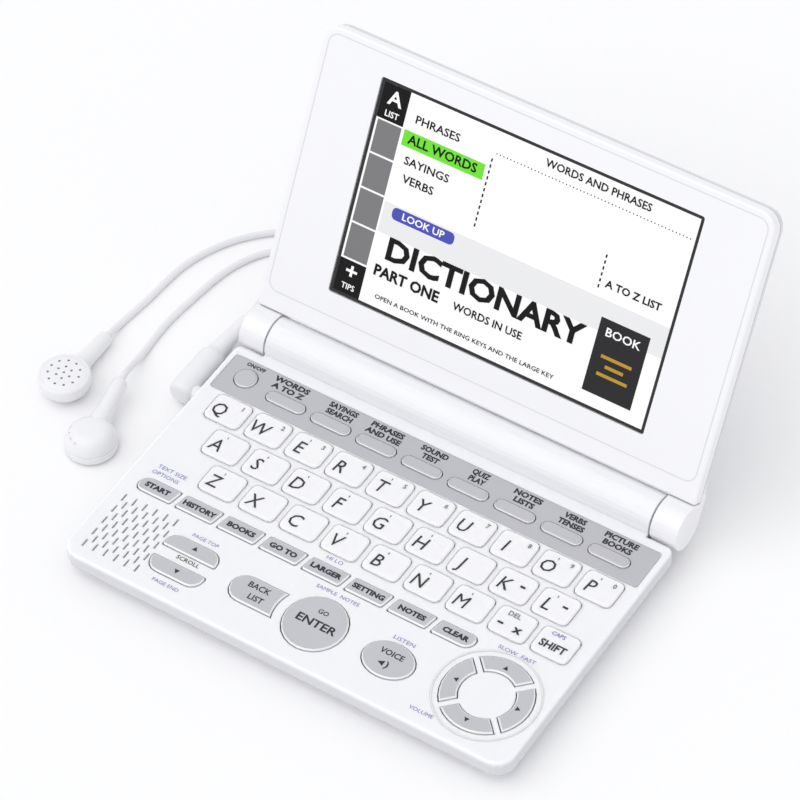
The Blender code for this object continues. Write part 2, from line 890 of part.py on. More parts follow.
def make_main_board(parent):
    low, high = board_underside, board_underside + board_thickness
    board = box(-half_width + board_inset, half_width - board_inset, board_inset,
                base_depth - board_rear_inset, low, high)
    item = place("main_board", finish_mesh(board, "main_board"), "board_green", parent)
    x = -half_width + jack_side_inset
    join(item, box(x, x + jack_length, jack_y - jack_width / 2, jack_y + jack_width / 2,
                   jack_z - jack_height / 2, jack_z + jack_height / 2))
    nose = circle(jack_y, jack_z, jack_nose_radius, jack_segments)
    join(item, bar(nose, -half_width + fit_gap, x + shell_wall))
    bore = circle(jack_y, jack_z, jack_bore_radius, jack_segments)
    cut(item, bar(bore, -half_width - cut_overrun, x + jack_length - jack_bore_radius / 2))
    for side in (-1, 1):
        middle = side * chip_x
        join(item, box(middle - chip_length / 2, middle + chip_length / 2, chip_y - chip_width / 2,
                       chip_y + chip_width / 2, low - chip_height, low + board_thickness / 2))
    return tidy(item, "board_green")


def make_key_sheet(parent):
    """The rubber sheet under the keys, with a raised rib under each row."""
    low = sheet_under_z
    side = half_width - board_inset
    speaker_edge = speaker_x + speaker_radius + fit_gap * 2
    speaker_top = speaker_y + speaker_radius + fit_gap * 2
    jack_low, jack_high = jack_y - jack_width / 2 - fit_gap * 2, jack_y + jack_width / 2 + fit_gap * 2
    jack_end = -half_width + jack_side_inset + jack_length + fit_gap * 2
    rear = base_depth - board_rear_inset
    outline = [
        (speaker_edge, board_inset), (side, board_inset), (side, rear), (-side, rear), (-side, jack_high),
        (jack_end, jack_high), (jack_end, jack_low), (-side, jack_low), (-side, speaker_top),
        (speaker_edge, speaker_top),
    ]
    mesh = finish_mesh(prism(outline, low, sheet_top_z), "key_sheet")
    item = place("key_sheet", mesh, "rubber_pale", parent)
    half_rib = sheet_rib_width / 2
    root = low + sheet_thickness / 2
    for row in letter_places():
        y = row[0][1] - letter_pitch_y / 4
        ends = (row[0][0] - half_rib, row[-1][0] + half_rib)
        join(item, box(*ends, y - half_rib, y + half_rib, root, rib_top_z))
    last = function_first_x + (function_count - 1) * function_pitch
    join(item, box(function_first_x, last, function_y - half_rib, function_y + half_rib,
                   root, web_rib_top_z))
    last = pill_first_x + (pill_count - 1) * pill_pitch
    join(item, box(power_x, last, pill_y - half_rib, pill_y + half_rib, root, web_rib_top_z))
    join(item, box(back_x, cursor_x - cursor_inner_radius, enter_y - half_rib, enter_y + half_rib,
                   root, rib_top_z))
    return tidy(item, "rubber_pale")


def make_speaker(parent):
    low = board_underside + board_thickness + fit_gap
    dome = speaker_dome_radius
    profile = [
        (0, 0), (speaker_radius, 0), (speaker_radius, speaker_height), (dome, speaker_height),
        (speaker_cone_radius, speaker_height - speaker_cone_depth), (0, speaker_height),
    ]
    return place("speaker", finish_mesh(lathe(profile, speaker_segments), "speaker"), "speaker_black",
                 parent, (speaker_x, speaker_y, low))


# Keys

def make_letter_keys(parent):
    bm = bmesh.new()
    top = deck_z + key_proud - key_under_z
    add_cap(bm, letter_outline(), 0, top)
    mesh = finish_mesh(bm, "letter_key")
    names = ["QWERTYUIOP", "ASDFGHJKL", "ZXCVBNM"]
    extra = ["delete", "shift"]
    for number, row in enumerate(letter_places()):
        labels = list(names[number]) + (extra if number == 2 else [])
        for label, (x, y) in zip(labels, row):
            place(f"key_{label}", mesh, "key_white", parent, (x, y, key_under_z))


def key_row(name, outlines, web_low_x, web_high_x, web_y, top_z, material, parent):
    """Caps moulded in one row on a thin strip that lies under the deck."""
    strip = box(web_low_x, web_high_x, web_y - web_width / 2, web_y + web_width / 2,
                web_under_z, key_under_z)
    item = place(name, finish_mesh(strip, name), material, parent)
    for outline in outlines:
        bm = bmesh.new()
        add_cap(bm, outline, web_under_z, top_z)
        join(item, bm)
    tidy(item, material)
    return item


def make_mode_keys(parent):
    outlines = [power_outline()]
    outlines += [pill_outline(pill_first_x + i * pill_pitch) for i in range(pill_count)]
    last = pill_first_x + (pill_count - 1) * pill_pitch
    return key_row("mode_keys", outlines, power_x, last, pill_y,
                   deck_z + front_key_proud, "key_white", parent)


def make_function_keys(parent):
    outlines = [function_outline(i) for i in range(function_count)]
    last = function_first_x + (function_count - 1) * function_pitch
    return key_row("function_keys", outlines, function_first_x, last, function_y,
                   deck_z + front_key_proud, "key_silver", parent)


def make_front_keys(parent):
    height = deck_z + front_key_proud - key_under_z
    for name, outline_maker, x, y in front_keys():
        bm = bmesh.new()
        add_cap(bm, centred(outline_maker(0.0), x, y), 0, height)
        place(name, finish_mesh(bm, name), "key_silver", parent, (x, y, key_under_z))


# Lid, in its own frame: Y runs from the hinge to the far edge and Z out of the screen side

def lid_outline(inset=0.0):
    return rounded_box(-half_width, half_width, lid_clear_v, lid_length, edge_radius, corner_radius, inset)


def make_lid_inner_cover(parent):
    soft = edge_radius * (1 - math.sqrt(0.5))
    rings = [
        at_height(lid_outline(), -inner_cover_height),
        at_height(lid_outline(), -edge_radius),
        at_height(lid_outline(soft), -soft),
        at_height(lid_outline(edge_radius), 0),
    ]
    item = place("lid_inner_cover", finish_mesh(loft(rings), "lid_inner_cover"), "white_shell", parent)
    cut(item, prism(lid_outline(shell_wall), -inner_cover_height - cut_overrun, -bezel_thickness))
    window = rounded_box(display_x_low, display_x_high, display_v_low, display_v_high,
                         edge_radius, edge_radius, steps=2)
    cut(item, prism(window, -bezel_thickness - cut_overrun, cut_overrun))
    return tidy(item, "white_shell")


def make_display_panel(parent):
    """The screen: a flange behind the bezel and a raised face in its opening."""
    back = -bezel_thickness - fit_gap - display_flange_thickness
    flange = -bezel_thickness - fit_gap
    face = box(display_x_low + fit_gap, display_x_high - fit_gap, display_v_low + fit_gap,
               display_v_high - fit_gap, back + display_flange_thickness / 2, -display_sink)
    item = place("display_panel", finish_mesh(face, "display_panel"), "display_black", parent)
    join(item, box(display_x_low - display_flange, display_x_high + display_flange,
                   display_v_low - display_flange, display_v_high + display_flange, back, flange))
    return tidy(item, "display_black")


def make_lid_back_cover(parent):
    soft = lid_edge_radius * (1 - math.sqrt(0.5))
    front = -inner_cover_height - fit_gap
    rings = [
        at_height(lid_outline(lid_edge_radius), -lid_thickness),
        at_height(lid_outline(soft), -lid_thickness + soft),
        at_height(lid_outline(), -lid_thickness + lid_edge_radius),
        at_height(lid_outline(), front),
    ]
    item = place("lid_back_cover", finish_mesh(loft(rings), "lid_back_cover"), "white_shell", parent)
    cut(item, prism(lid_outline(shell_wall), -lid_thickness + floor_thickness, front + cut_overrun))
    arm_end = lid_clear_v + arm_overlap
    low = -barrel_radius
    quarter = math.pi / 2
    knuckle = arc(0, 0, barrel_radius, barrel_radius, quarter, 3 * quarter, barrel_steps)
    knuckle += [(arm_end, low), (arm_end, front), (arm_v, front), (arm_v, 0)]
    knuckle += arc(0, 0, barrel_radius, barrel_radius, 0, quarter, wide_arc_steps)[1:-1]
    bore = circle(0, 0, pin_radius + pin_clearance, pin_segments)
    for side in (-1, 1):
        inner_x = side * (half_width - knuckle_length)
        ends = sorted((inner_x, side * half_width))
        join(item, bar(knuckle, *ends))
        ends = sorted((inner_x - side * cut_overrun, side * (half_width - pin_end_wall)))
        cut(item, bar(bore, *ends))
    return tidy(item, "white_shell")


def make_hinge_pins(parent):
    profile = circle(0, 0, pin_radius, pin_segments)
    for name, side in (("hinge_pin_left", -1), ("hinge_pin_right", 1)):
        outer = side * (half_width - pin_end_wall - fit_gap)
        ends = sorted((outer, outer - side * pin_length))
        place(name, finish_mesh(bar(profile, *ends), name), "pin_steel", parent)


# Earphones

def smooth_route(points, step=cord_point_step):
    """Read evenly spaced points off a smooth curve through a cord's points, with straight ends."""
    route = [Vector(point) for point in points]
    first, last = route[0], route[-1]
    route = [2 * route[0] - route[1]] + route + [2 * route[-1] - route[-2]]
    dense = []
    for a, b, c, d in zip(route, route[1:], route[2:], route[3:]):
        for i in range(fine_steps):
            t = i / fine_steps
            dense.append(0.5 * (2 * b + (c - a) * t + (2 * a - 5 * b + 4 * c - d) * t * t
                                + (3 * b - a - 3 * c + d) * t * t * t))
    dense = dense[fine_steps:-fine_steps] + [route[-3]]
    lengths = [0.0]
    for here, after in zip(dense, dense[1:]):
        lengths.append(lengths[-1] + (after - here).length)
    count = max(2, round(lengths[-1] / step))
    wanted = np.linspace(0, lengths[-1], count + 1)
    axes = [np.interp(wanted, lengths, [point[k] for point in dense]) for k in range(3)]
    axes[2] = np.maximum(axes[2], cord_radius)
    return [first] + [Vector(point) for point in zip(*axes)] + [last]


def straight_end(point, direction):
    """Where a cord starts and how it leaves: straight for one of its diameters."""
    point = Vector(point)
    return [point, point + Vector(direction).normalized() * 2 * cord_radius]


def route_length(points):
    return sum((b - a).length for a, b in zip(points, points[1:]))


def tube(name, points, parent, resolution):
    """A cord: a round tube along a line of points, with flat ends."""
    curve = bpy.data.curves.new(name, "CURVE")
    curve.dimensions = "3D"
    curve.bevel_depth = cord_radius
    curve.bevel_resolution = resolution
    curve.use_fill_caps = True
    line = curve.splines.new("POLY")
    line.points.add(len(points) - 1)
    for spot, point in zip(line.points, points):
        spot.co = (*point, 1.0)
    curve.materials.append(get_material("cord_white"))
    item = bpy.data.objects.new(name, curve)
    bpy.context.scene.collection.objects.link(item)
    item.parent = parent
    print(f"{name}: {route_length(points):.3f} m, {len(points)} points")
    return item


def coil_points():
    """Layers of turns that spiral in and out at a steady rate, then a tail to the splitter."""
    turns = coil_turns_per_layer * coil_layers + 0.5
    points = []
    for i in range(round(turns * coil_points_per_turn) + 1):
        t = i / coil_points_per_turn
        layer = min(int(t / coil_turns_per_layer), coil_layers - 1)
        into = t - layer * coil_turns_per_layer
        travelled = into if layer % 2 == 0 else coil_turns_per_layer - into
        radius = coil_outer_radius - coil_turn_pitch * travelled
        near = round(t / coil_turns_per_layer)
        climb = min(max((t - near * coil_turns_per_layer) * 2 + 0.5, 0), 1)
        climb = climb * climb * (3 - 2 * climb)
        level = near - 1 + climb
        level = min(max(level, 0), coil_layers - 1)
        angle = -math.pi / 2 + 2 * math.pi * t
        points.append(Vector((coil_x + radius * math.cos(angle), coil_y + radius * math.sin(angle),
                              cord_radius + level * coil_turn_pitch)))
    steps = round(coil_lead / cord_point_step)
    lead = [Vector((coil_start_x + coil_lead * i / steps, coil_start_y, cord_radius)) for i in range(steps)]
    end_x = splitter_x + splitter_length / 2 + fit_gap
    tail = straight_end(points[-1], (-1, 0, 0)) + coil_tail_route
    tail = smooth_route(tail + straight_end((end_x, splitter_y, splitter_height / 2), (1, 0, 0))[::-1])[1:]
    wound = lead + points + tail
    print(f"coil: {route_length(wound):.3f} m, least gap {least_gap(wound) * 1000:.2f} mm")
    return wound


def least_gap(points):
    """The clear distance between stretches of the coil that aren't next to each other."""
    spots = np.array([tuple(point) for point in points])
    closest = math.inf
    apart = coil_points_per_turn // 2
    for i in range(len(spots) - apart):
        distance = np.linalg.norm(spots[i + apart:] - spots[i], axis=1).min()
        closest = min(closest, distance)
    return closest - 2 * cord_radius


def make_plug(parent):
    """A right-angled plug: shaft into the side, body along it, tapering into a relief."""
    side = (plug_side_x, jack_y, jack_z)
    tip = plug_shaft_length + plug_side_x + half_width
    shaft = [
        (0, -plug_body_radius), (plug_shaft_radius, -plug_body_radius),
        (plug_shaft_radius, tip - plug_tip_length), (plug_tip_radius, tip), (0, tip),
    ]
    root = -plug_collar_length - plug_body_radius
    collar = [
        (0, root), (plug_collar_radius, root),
        (plug_collar_radius, 0), (0, 0),
    ]
    nose = plug_body_radius * plug_body_nose_share
    bevel = nose * plug_body_bevel_share
    body = [
        (0, 0), (plug_body_radius - nose, 0), (plug_body_radius - bevel, bevel), (plug_body_radius, nose),
        (plug_body_radius, plug_body_length - nose), (plug_relief_radius, plug_body_length),
        (plug_relief_end_radius, plug_body_length + plug_relief_length),
        (0, plug_body_length + plug_relief_length),
    ]
    first = (plug_body_x, jack_y - plug_body_radius, jack_z)
    bm = rod(body, plug_segments, first, (0, 1, 0))
    item = place("earphone_plug", finish_mesh(bm, "earphone_plug"), "plug_white", parent)
    join(item, rod(collar, plug_collar_segments, side, (1, 0, 0)))
    join(item, rod(shaft, plug_shaft_segments, side, (1, 0, 0)))
    return tidy(item, "plug_white")


def bud_bodies():
    """Housing and stem of an earbud, face up with the face's middle at the origin and the stem along +X."""
    profile = [
        (0, -bud_depth), (bud_back_radius, -bud_depth), (bud_shoulder_radius, -bud_shoulder_depth),
        (bud_radius, -bud_side_depth), (bud_radius, -bud_edge_depth),
        (bud_edge_radius, -bud_edge_drop), (bud_face_radius, 0), (0, 0),
    ]
    housing = lathe(profile, bud_segments)
    run, slope = stem_run()
    stem = [(0, 0), (stem_start_radius, 0), (stem_end_radius, run - stem_tip_bevel),
            (stem_end_radius - stem_tip_bevel, run), (0, run)]
    direction = (math.cos(slope), 0, -math.sin(slope))
    return housing, rod(stem, stem_segments, (0, 0, -stem_axis_depth), direction)


def stem_run():
    """How long the stem is along its own axis, and how far it leans away from the face."""
    drop = stem_end_depth - stem_axis_depth
    return math.hypot(stem_length, drop), math.atan2(drop, stem_length)


def bud_matrix(x, y, heading, face_up):
    """An earbud lying on the table, on its back or on its face."""
    turn = Matrix.Rotation(heading, 4, "Z")
    if face_up:
        return Matrix.Translation((x, y, bud_depth)) @ turn
    return Matrix.Translation((x, y, 0)) @ turn @ Matrix.Rotation(math.pi, 4, "X")


def stem_end(matrix):
    """Where the cord leaves an earbud, and its way out."""
    run, slope = stem_run()
    direction = Vector((math.cos(slope), 0, -math.sin(slope)))
    point = Vector((0, 0, -stem_axis_depth)) + direction * (run + fit_gap)
    return straight_end(matrix @ point, matrix.to_3x3() @ direction)


def make_earbud(name, parent, matrix):
    housing, stem = bud_bodies()
    item = place(name, finish_mesh(housing, name), "bud_white", parent)
    join(item, stem)
    tidy(item, "bud_white")
    item.matrix_local = matrix


def make_splitter(parent):
    """A flat moulding where the cord parts into two."""
    rings = []
    middle_z = splitter_height / 2
    for x, width in ((-1, splitter_branch_end_width), (1, splitter_cord_end_width)):
        place_x = splitter_x + x * splitter_length / 2
        points = rounded_box(-width / 2, width / 2, 0, splitter_height, splitter_height / 4,
                             splitter_height / 4, steps=2)
        rings.append([(place_x, splitter_y + across, up) for across, up in points])
    return place("cord_splitter", finish_mesh(loft(rings), "cord_splitter"), "plug_white", parent)


def make_cords(parent, left_bud, right_bud):
    plug_end_y = jack_y - plug_body_radius + plug_body_length + plug_relief_length + fit_gap
    plug_end = (plug_body_x, plug_end_y, jack_z)
    coil_end = (coil_start_x - fit_gap, coil_start_y, cord_radius)
    route = straight_end(plug_end, (0, 1, 0)) + main_cord_route + straight_end(coil_end, (-1, 0, 0))[::-1]
    tube("main_cord", smooth_route(route), parent, 2)
    tube("main_cord_coil", coil_points(), parent, 1)
    branch_x = splitter_x - splitter_length / 2 - fit_gap
    for name, matrix, chosen, side in (("left_cord", left_bud, left_cord_route, 1),
                                       ("right_cord", right_bud, right_cord_route, -1)):
        branch_end = (branch_x, splitter_y + side * splitter_branch_offset, splitter_height / 2)
        route = stem_end(matrix) + chosen + straight_end(branch_end, (-1, 0, 0))[::-1]
        tube(name, smooth_route(route), parent, 2)


def build():
    clear_scene()
    device = empty("device", location=(0, -lid_rear_y / 2, 0))
    make_base_top_cover(device)
    make_base_bottom_cover(device)
    make_battery_cover(device)
    make_battery("battery_left", device, -battery_middle_x)
    make_battery("battery_right", device, battery_middle_x)
    make_main_board(device)
    make_key_sheet(device)
    make_speaker(device)
    make_letter_keys(device)
    make_mode_keys(device)
    make_function_keys(device)
    make_front_keys(device)
    lid = empty("lid_axis", device, (0, hinge_y, hinge_z), (lid_lean, 0, 0))
    make_lid_inner_cover(lid)
    make_lid_back_cover(lid)
    make_display_panel(lid)
    make_hinge_pins(lid)
    earphones = empty("earphones", device)
    make_plug(earphones)
    make_splitter(earphones)
    left_bud = bud_matrix(left_bud_x, left_bud_y, left_bud_heading, True)
    right_bud = bud_matrix(right_bud_x, right_bud_y, right_bud_heading, False)
    make_earbud("left_earbud", earphones, left_bud)
    make_earbud("right_earbud", earphones, right_bud)
    make_cords(earphones, left_bud, right_bud)


build()
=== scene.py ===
import math

import bpy
import numpy as np
from mathutils import Matrix, Vector


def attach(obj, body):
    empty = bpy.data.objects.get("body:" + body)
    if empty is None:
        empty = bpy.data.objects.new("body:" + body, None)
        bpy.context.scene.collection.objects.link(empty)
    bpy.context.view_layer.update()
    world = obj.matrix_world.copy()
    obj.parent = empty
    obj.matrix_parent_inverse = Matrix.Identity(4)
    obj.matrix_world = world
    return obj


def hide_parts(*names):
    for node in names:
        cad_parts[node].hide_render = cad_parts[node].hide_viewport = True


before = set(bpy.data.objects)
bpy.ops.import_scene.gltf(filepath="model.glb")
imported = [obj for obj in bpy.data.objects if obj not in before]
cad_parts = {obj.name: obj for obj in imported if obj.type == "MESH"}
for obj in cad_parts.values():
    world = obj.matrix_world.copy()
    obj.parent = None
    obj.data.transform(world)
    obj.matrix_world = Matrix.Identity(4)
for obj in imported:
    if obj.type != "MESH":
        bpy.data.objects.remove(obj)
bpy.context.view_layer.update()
scene = bpy.context.scene
scene.view_settings.view_transform = "Standard"

mm = 0.001
frontToMiddle = 75.0515283  # from the base's front edge to the frame's origin
hinge = {"y": 97.0, "z": 10.9, "lean": 60.5}  # the lid's axis, and how far the lid stands up in degrees
baseMatrix = Matrix.Translation(Vector((0, -frontToMiddle, 0)) * mm)
lidMatrix = (baseMatrix @ Matrix.Translation(Vector((0, hinge["y"], hinge["z"])) * mm)
             @ Matrix.Rotation(math.radians(hinge["lean"]), 4, "X"))


def at(x, y, z):
    return Vector((x, y - frontToMiddle, z)) * mm


# camera, floor and light

view = {
    "place": (492.11, -618.32, 1030.27),
    "aim": (-21.678, 95.992, 10.0),
    "roll": -3.496,  # degrees
    "lens": 209.91,
}

light = {
    "sky": 0.80,
    "sun": 0.88,
    "sunFrom": (-0.25, -0.38, 0.89),
    "sunSpread": 75,  # degrees, for the softness of the shadows
    "floorColour": (0.955, 0.955, 0.965),
    "floorSize": 8.0,  # metres
    "floorDrop": 0.05,
}


def makeCamera():
    data = bpy.data.cameras.new("view")
    data.lens = view["lens"]
    data.sensor_width = 36
    data.clip_start, data.clip_end = 0.05, 50
    camera = bpy.data.objects.new("view", data)
    scene.collection.objects.link(camera)
    place, aim = at(*view["place"]), at(*view["aim"])
    look = (aim - place).to_track_quat("-Z", "Y").to_matrix().to_4x4()
    roll = Matrix.Rotation(math.radians(view["roll"]), 4, "Z")
    camera.matrix_world = Matrix.Translation(place) @ look @ roll
    scene.camera = camera


makeCamera()
print("camera made")


# node helpers

class Wire:
    # a shader socket that can be used in Python expressions
    def __init__(self, finish, socket):
        self.finish = finish
        self.socket = socket

    def maths(self, operation, a, b):
        return self.finish.add("Math", {"operation": operation}, {0: a, 1: b})

    def __add__(self, other):
        return self.maths("ADD", self, other)

    def __sub__(self, other):
        return self.maths("SUBTRACT", self, other)

    def __mul__(self, other):
        return self.maths("MULTIPLY", self, other)

    def __truediv__(self, other):
        return self.maths("DIVIDE", self, other)

    def __rsub__(self, other):
        return self.maths("SUBTRACT", other, self)

    def __rtruediv__(self, other):
        return self.maths("DIVIDE", other, self)

    def __gt__(self, other):
        return self.maths("GREATER_THAN", self, other)

    def __lt__(self, other):
        return self.maths("LESS_THAN", self, other)

    __radd__ = __add__
    __rmul__ = __mul__


class Finish:
    # a material and the nodes that are added to it
    def __init__(self, name, world=False):
        self.data = scene.world if world else bpy.data.materials.new(name)
        self.data.use_nodes = True
        self.tree = self.data.node_tree
        self.tree.nodes.clear()

    def add(self, kind, settings=None, sockets=None, output=0):
        node = self.tree.nodes.new("ShaderNode" + kind)
        for name, value in (settings or {}).items():
            setattr(node, name, value)
        for name, value in (sockets or {}).items():
            socket = node.inputs[name]
            if isinstance(value, Wire):
                self.tree.links.new(value.socket, socket)
            elif socket.type == "RGBA" and len(value) == 3:
                socket.default_value = (*value, 1)
            else:
                socket.default_value = value
        return Wire(self, node.outputs[output]) if len(node.outputs) else None

    def place(self):
        return self.add("TexCoord", output="Object")

    def along(self, axis):
        return self.add("SeparateXYZ", {}, {0: self.place()}, output="XYZ".index(axis))

    def noise(self, scale, detail=2.0, roughness=0.5):
        return self.add("TexNoise", {}, {"Vector": self.place(), "Scale": scale, "Detail": detail,
                                         "Roughness": roughness})

    def mixColour(self, factor, a, b):
        return self.add("Mix", {"data_type": "RGBA"}, {0: factor, 6: a, 7: b}, output=2)

    def bump(self, height, distance, strength=1.0):
        return self.add("Bump", {}, {"Height": height, "Distance": distance, "Strength": strength})

    def surface(self, **sockets):
        named = {key.replace("_", " "): value for key, value in sockets.items()}
        shader = self.add("BsdfPrincipled", {}, named)
        self.close(shader)
        return self.data

    def close(self, shader):
        kind = "OutputWorld" if self.data == scene.world else "OutputMaterial"
        self.add(kind, {}, {"Surface": shader})


def makeSky():
    if scene.world is None:
        scene.world = bpy.data.worlds.new("studio")
    sky = Finish("studio", world=True)
    seen = sky.add("LightPath", output="Is Camera Ray")
    for ray in ("Is Glossy Ray", "Is Transmission Ray"):
        seen = sky.add("Math", {"operation": "MAXIMUM"}, {0: seen, 1: sky.add("LightPath", output=ray)})
    lit = sky.add("Background", {}, {"Color": (0.985, 0.99, 1.0), "Strength": light["sky"]})
    white = sky.add("Background", {}, {"Color": (1, 1, 1), "Strength": 1.0})
    sky.close(sky.add("MixShader", {}, {0: seen, 1: lit, 2: white}))


def makeFloor():
    paper = Finish("paper_floor")
    grain = paper.noise(420, 3)
    colour = paper.mixColour(grain * 0.15, light["floorColour"], (0.93, 0.93, 0.945))
    sheet = paper.add("BsdfPrincipled", {}, {"Base Color": colour, "Roughness": 0.9,
                                             "Specular IOR Level": 0.0})
    under = paper.add("NewGeometry", output="Backfacing")
    clear = paper.add("BsdfTransparent")
    paper.close(paper.add("MixShader", {}, {0: under, 1: sheet, 2: clear}))  # seen from above only
    bpy.ops.object.select_all(action="DESELECT")
    bpy.ops.mesh.primitive_plane_add(size=light["floorSize"], location=(0, 0, -light["floorDrop"] * mm))
    floor = bpy.context.object
    floor.name = "floor"
    floor.data.materials.append(paper.data)


def makeSun():
    data = bpy.data.lights.new("window", "SUN")
    data.energy = light["sun"]
    data.angle = math.radians(light["sunSpread"])
    data.color = (1.0, 0.995, 0.985)
    sun = bpy.data.objects.new("window", data)
    scene.collection.objects.link(sun)
    sun.rotation_euler = Vector(light["sunFrom"]).to_track_quat("Z", "Y").to_euler()


makeSky()
makeFloor()
makeSun()
print("floor and light made")


# finishes

def plastic(name, colour, tint, roughness, coat, grain, depth, glow=0.0, wallShadeHeights=None):
    # moulded plastic: faint clouding, handling marks in the gloss, fine spark-eroded grain
    # two heights in mm may be given, between which the colour turns to a greyer white: painted shade on the
    # side walls
    made = Finish(name)
    cloud = made.noise(38, 3)
    marks = made.noise(160, 4, 0.6)
    fine = made.noise(grain, 2)
    base = made.mixColour(cloud, colour, tint)
    if wallShadeHeights:
        start, end = wallShadeHeights
        # painted shade: the walls turn greyer by height
        base = made.mixColour((made.along("Z") - start * mm) / ((end - start) * mm), base, paintedWallShade)
    rough = roughness + (marks - 0.5) * roughness * 0.2
    return made.surface(Base_Color=base, Roughness=rough, Coat_Weight=coat, Coat_Roughness=0.08, IOR=1.47,
                        Subsurface_Weight=glow, Subsurface_Radius=(1.0, 1.0, 1.0), Subsurface_Scale=0.8 * mm,
                        Normal=made.bump(fine, depth * mm, 0.6))


def metalPaint(name, colour, dark, roughness, metallic, highlightBelow=None):
    # silver lacquer with a fine flake, and on keys a painted highlight: a bright edge below the flat top
    made = Finish(name)
    flake = made.noise(5200, 1)
    cloud = made.noise(60, 2)
    base = made.mixColour(flake * 0.6 + cloud * 0.4, dark, colour)
    if highlightBelow:
        # painted highlight below the key's top
        base = made.mixColour(made.along("Z") < highlightBelow * mm, base, paintedHighlightColour)
    return made.surface(Base_Color=base, Roughness=roughness + (cloud - 0.5) * 0.1, Metallic=metallic,
                        Coat_Weight=0.35, Coat_Roughness=0.15, Normal=made.bump(flake, 0.004 * mm, 0.5))


def printInk(name, colour, faded):
    made = Finish(name)
    wear = made.noise(900, 3)
    return made.surface(Base_Color=made.mixColour(wear * 0.5, colour, faded), Roughness=0.55, IOR=1.3)


def screenArea(name, colour, shade):
    # one colour of the display, with its fine pixel grid
    made = Finish(name)
    across = made.add("Math", {"operation": "FRACT"}, {0: made.along("X") / (pixelSize * mm)})
    line = across > 0.8
    base = made.mixColour(line * 0.3, colour, shade)
    return made.surface(Base_Color=base, Roughness=0.3, IOR=1.25)


pixelSize = 0.22  # of the display, in mm
paintedHighlightColour = (0.86, 0.86, 0.88)  # painted highlight on the edge of a silver key
# painted shade for the walls that face away from the light
paintedWallShade = (0.695, 0.697, 0.728)

# the base turns to painted shade below the deck
shellWhite = plastic("shell_white", (0.892, 0.895, 0.935), (0.875, 0.878, 0.92), 0.26, 0.35, 2600, 0.004, 1.0,
                     (9.7, 8.0))
lidWhite = plastic("lid_white", (0.91, 0.91, 0.935), (0.895, 0.895, 0.925), 0.22, 0.5, 2400, 0.003)
# the lid's back turns to painted shade above the knuckles
backWhite = plastic("lid_back_white", (0.91, 0.91, 0.935), (0.895, 0.895, 0.925), 0.22, 0.5, 2400, 0.003, 0.0,
                    (17.0, 22.0))
keyWhite = plastic("key_white_finish", (0.90, 0.90, 0.925), (0.885, 0.885, 0.915), 0.38, 0.1, 3400, 0.006,
                   1.0)
cordWhite = plastic("cord_white_finish", (0.84, 0.84, 0.86), (0.80, 0.80, 0.83), 0.5, 0.0, 3000, 0.01)
budWhite = plastic("bud_white_finish", (0.87, 0.87, 0.89), (0.84, 0.84, 0.87), 0.3, 0.3, 2600, 0.004)
plugWhite = plastic("plug_white_finish", (0.86, 0.86, 0.88), (0.83, 0.83, 0.86), 0.4, 0.1, 2600, 0.006)
padRubber = plastic("pad_rubber", (0.66, 0.66, 0.69), (0.6, 0.6, 0.63), 0.8, 0.0, 1800, 0.02)
boardGreen = plastic("board_lacquer", (0.05, 0.20, 0.11), (0.07, 0.26, 0.14), 0.45, 0.3, 900, 0.01)
sheetPale = plastic("sheet_pale", (0.90, 0.90, 0.91), (0.86, 0.86, 0.88), 0.8, 0.0, 1800, 0.02)
# painted shade: a dark disc seen through the earbud's grille holes
budHoleShade = plastic("mesh_grey", (0.20, 0.20, 0.21), (0.28, 0.28, 0.29), 0.6, 0.0, 2200, 0.02)
seamGrey = plastic("seam_grey", (0.66, 0.66, 0.69), (0.72, 0.72, 0.75), 0.5, 0.0, 2200, 0.01)
speakerCloth = plastic("speaker_cloth", (0.80, 0.80, 0.82), (0.74, 0.74, 0.77), 0.7, 0.0, 2200, 0.02)
screenBlack = plastic("screen_black", (0.008, 0.008, 0.009), (0.012, 0.012, 0.013), 0.3, 0.0, 1800, 0.002)
# the silver keys and pills carry a painted highlight round their edges
keySilver = metalPaint("key_silver_finish", (0.56, 0.565, 0.60), (0.47, 0.475, 0.51), 0.34, 0.25, 10.28)
pillSilver = metalPaint("pill_silver_finish", (0.55, 0.55, 0.585), (0.48, 0.48, 0.52), 0.34, 0.2, 10.05)
stripSilver = metalPaint("strip_silver", (0.52, 0.52, 0.555), (0.46, 0.46, 0.50), 0.36, 0.15)
cellMetal = metalPaint("cell_metal", (0.55, 0.56, 0.58), (0.42, 0.43, 0.45), 0.3, 0.9)
pinSteel = metalPaint("pin_steel_finish", (0.58, 0.58, 0.60), (0.44, 0.44, 0.46), 0.25, 1.0)
inkBlack = printInk("ink_black", (0.025, 0.025, 0.03), (0.09, 0.09, 0.10))
inkMauve = printInk("ink_mauve", (0.19, 0.19, 0.50), (0.30, 0.30, 0.58))
inkGrey = printInk("ink_grey", (0.20, 0.20, 0.21), (0.32, 0.32, 0.33))

pageWhite = screenArea("page_white", (1.0, 1.0, 1.0), (0.97, 0.97, 0.98))
pageMist = screenArea("page_mist", (0.83, 0.83, 0.84), (0.79, 0.79, 0.80))
pageGrey = screenArea("page_grey", (0.205, 0.205, 0.21), (0.18, 0.18, 0.185))
pageDark = screenArea("page_dark", (0.022, 0.022, 0.024), (0.035, 0.035, 0.037))
pageBlack = screenArea("page_black", (0.004, 0.004, 0.005), (0.012, 0.012, 0.013))
pageGreen = screenArea("page_green", (0.17, 0.76, 0.04), (0.14, 0.68, 0.035))
pageBlue = screenArea("page_blue", (0.075, 0.09, 0.47), (0.06, 0.075, 0.42))
pageAmber = screenArea("page_amber", (0.50, 0.30, 0.03), (0.42, 0.25, 0.03))

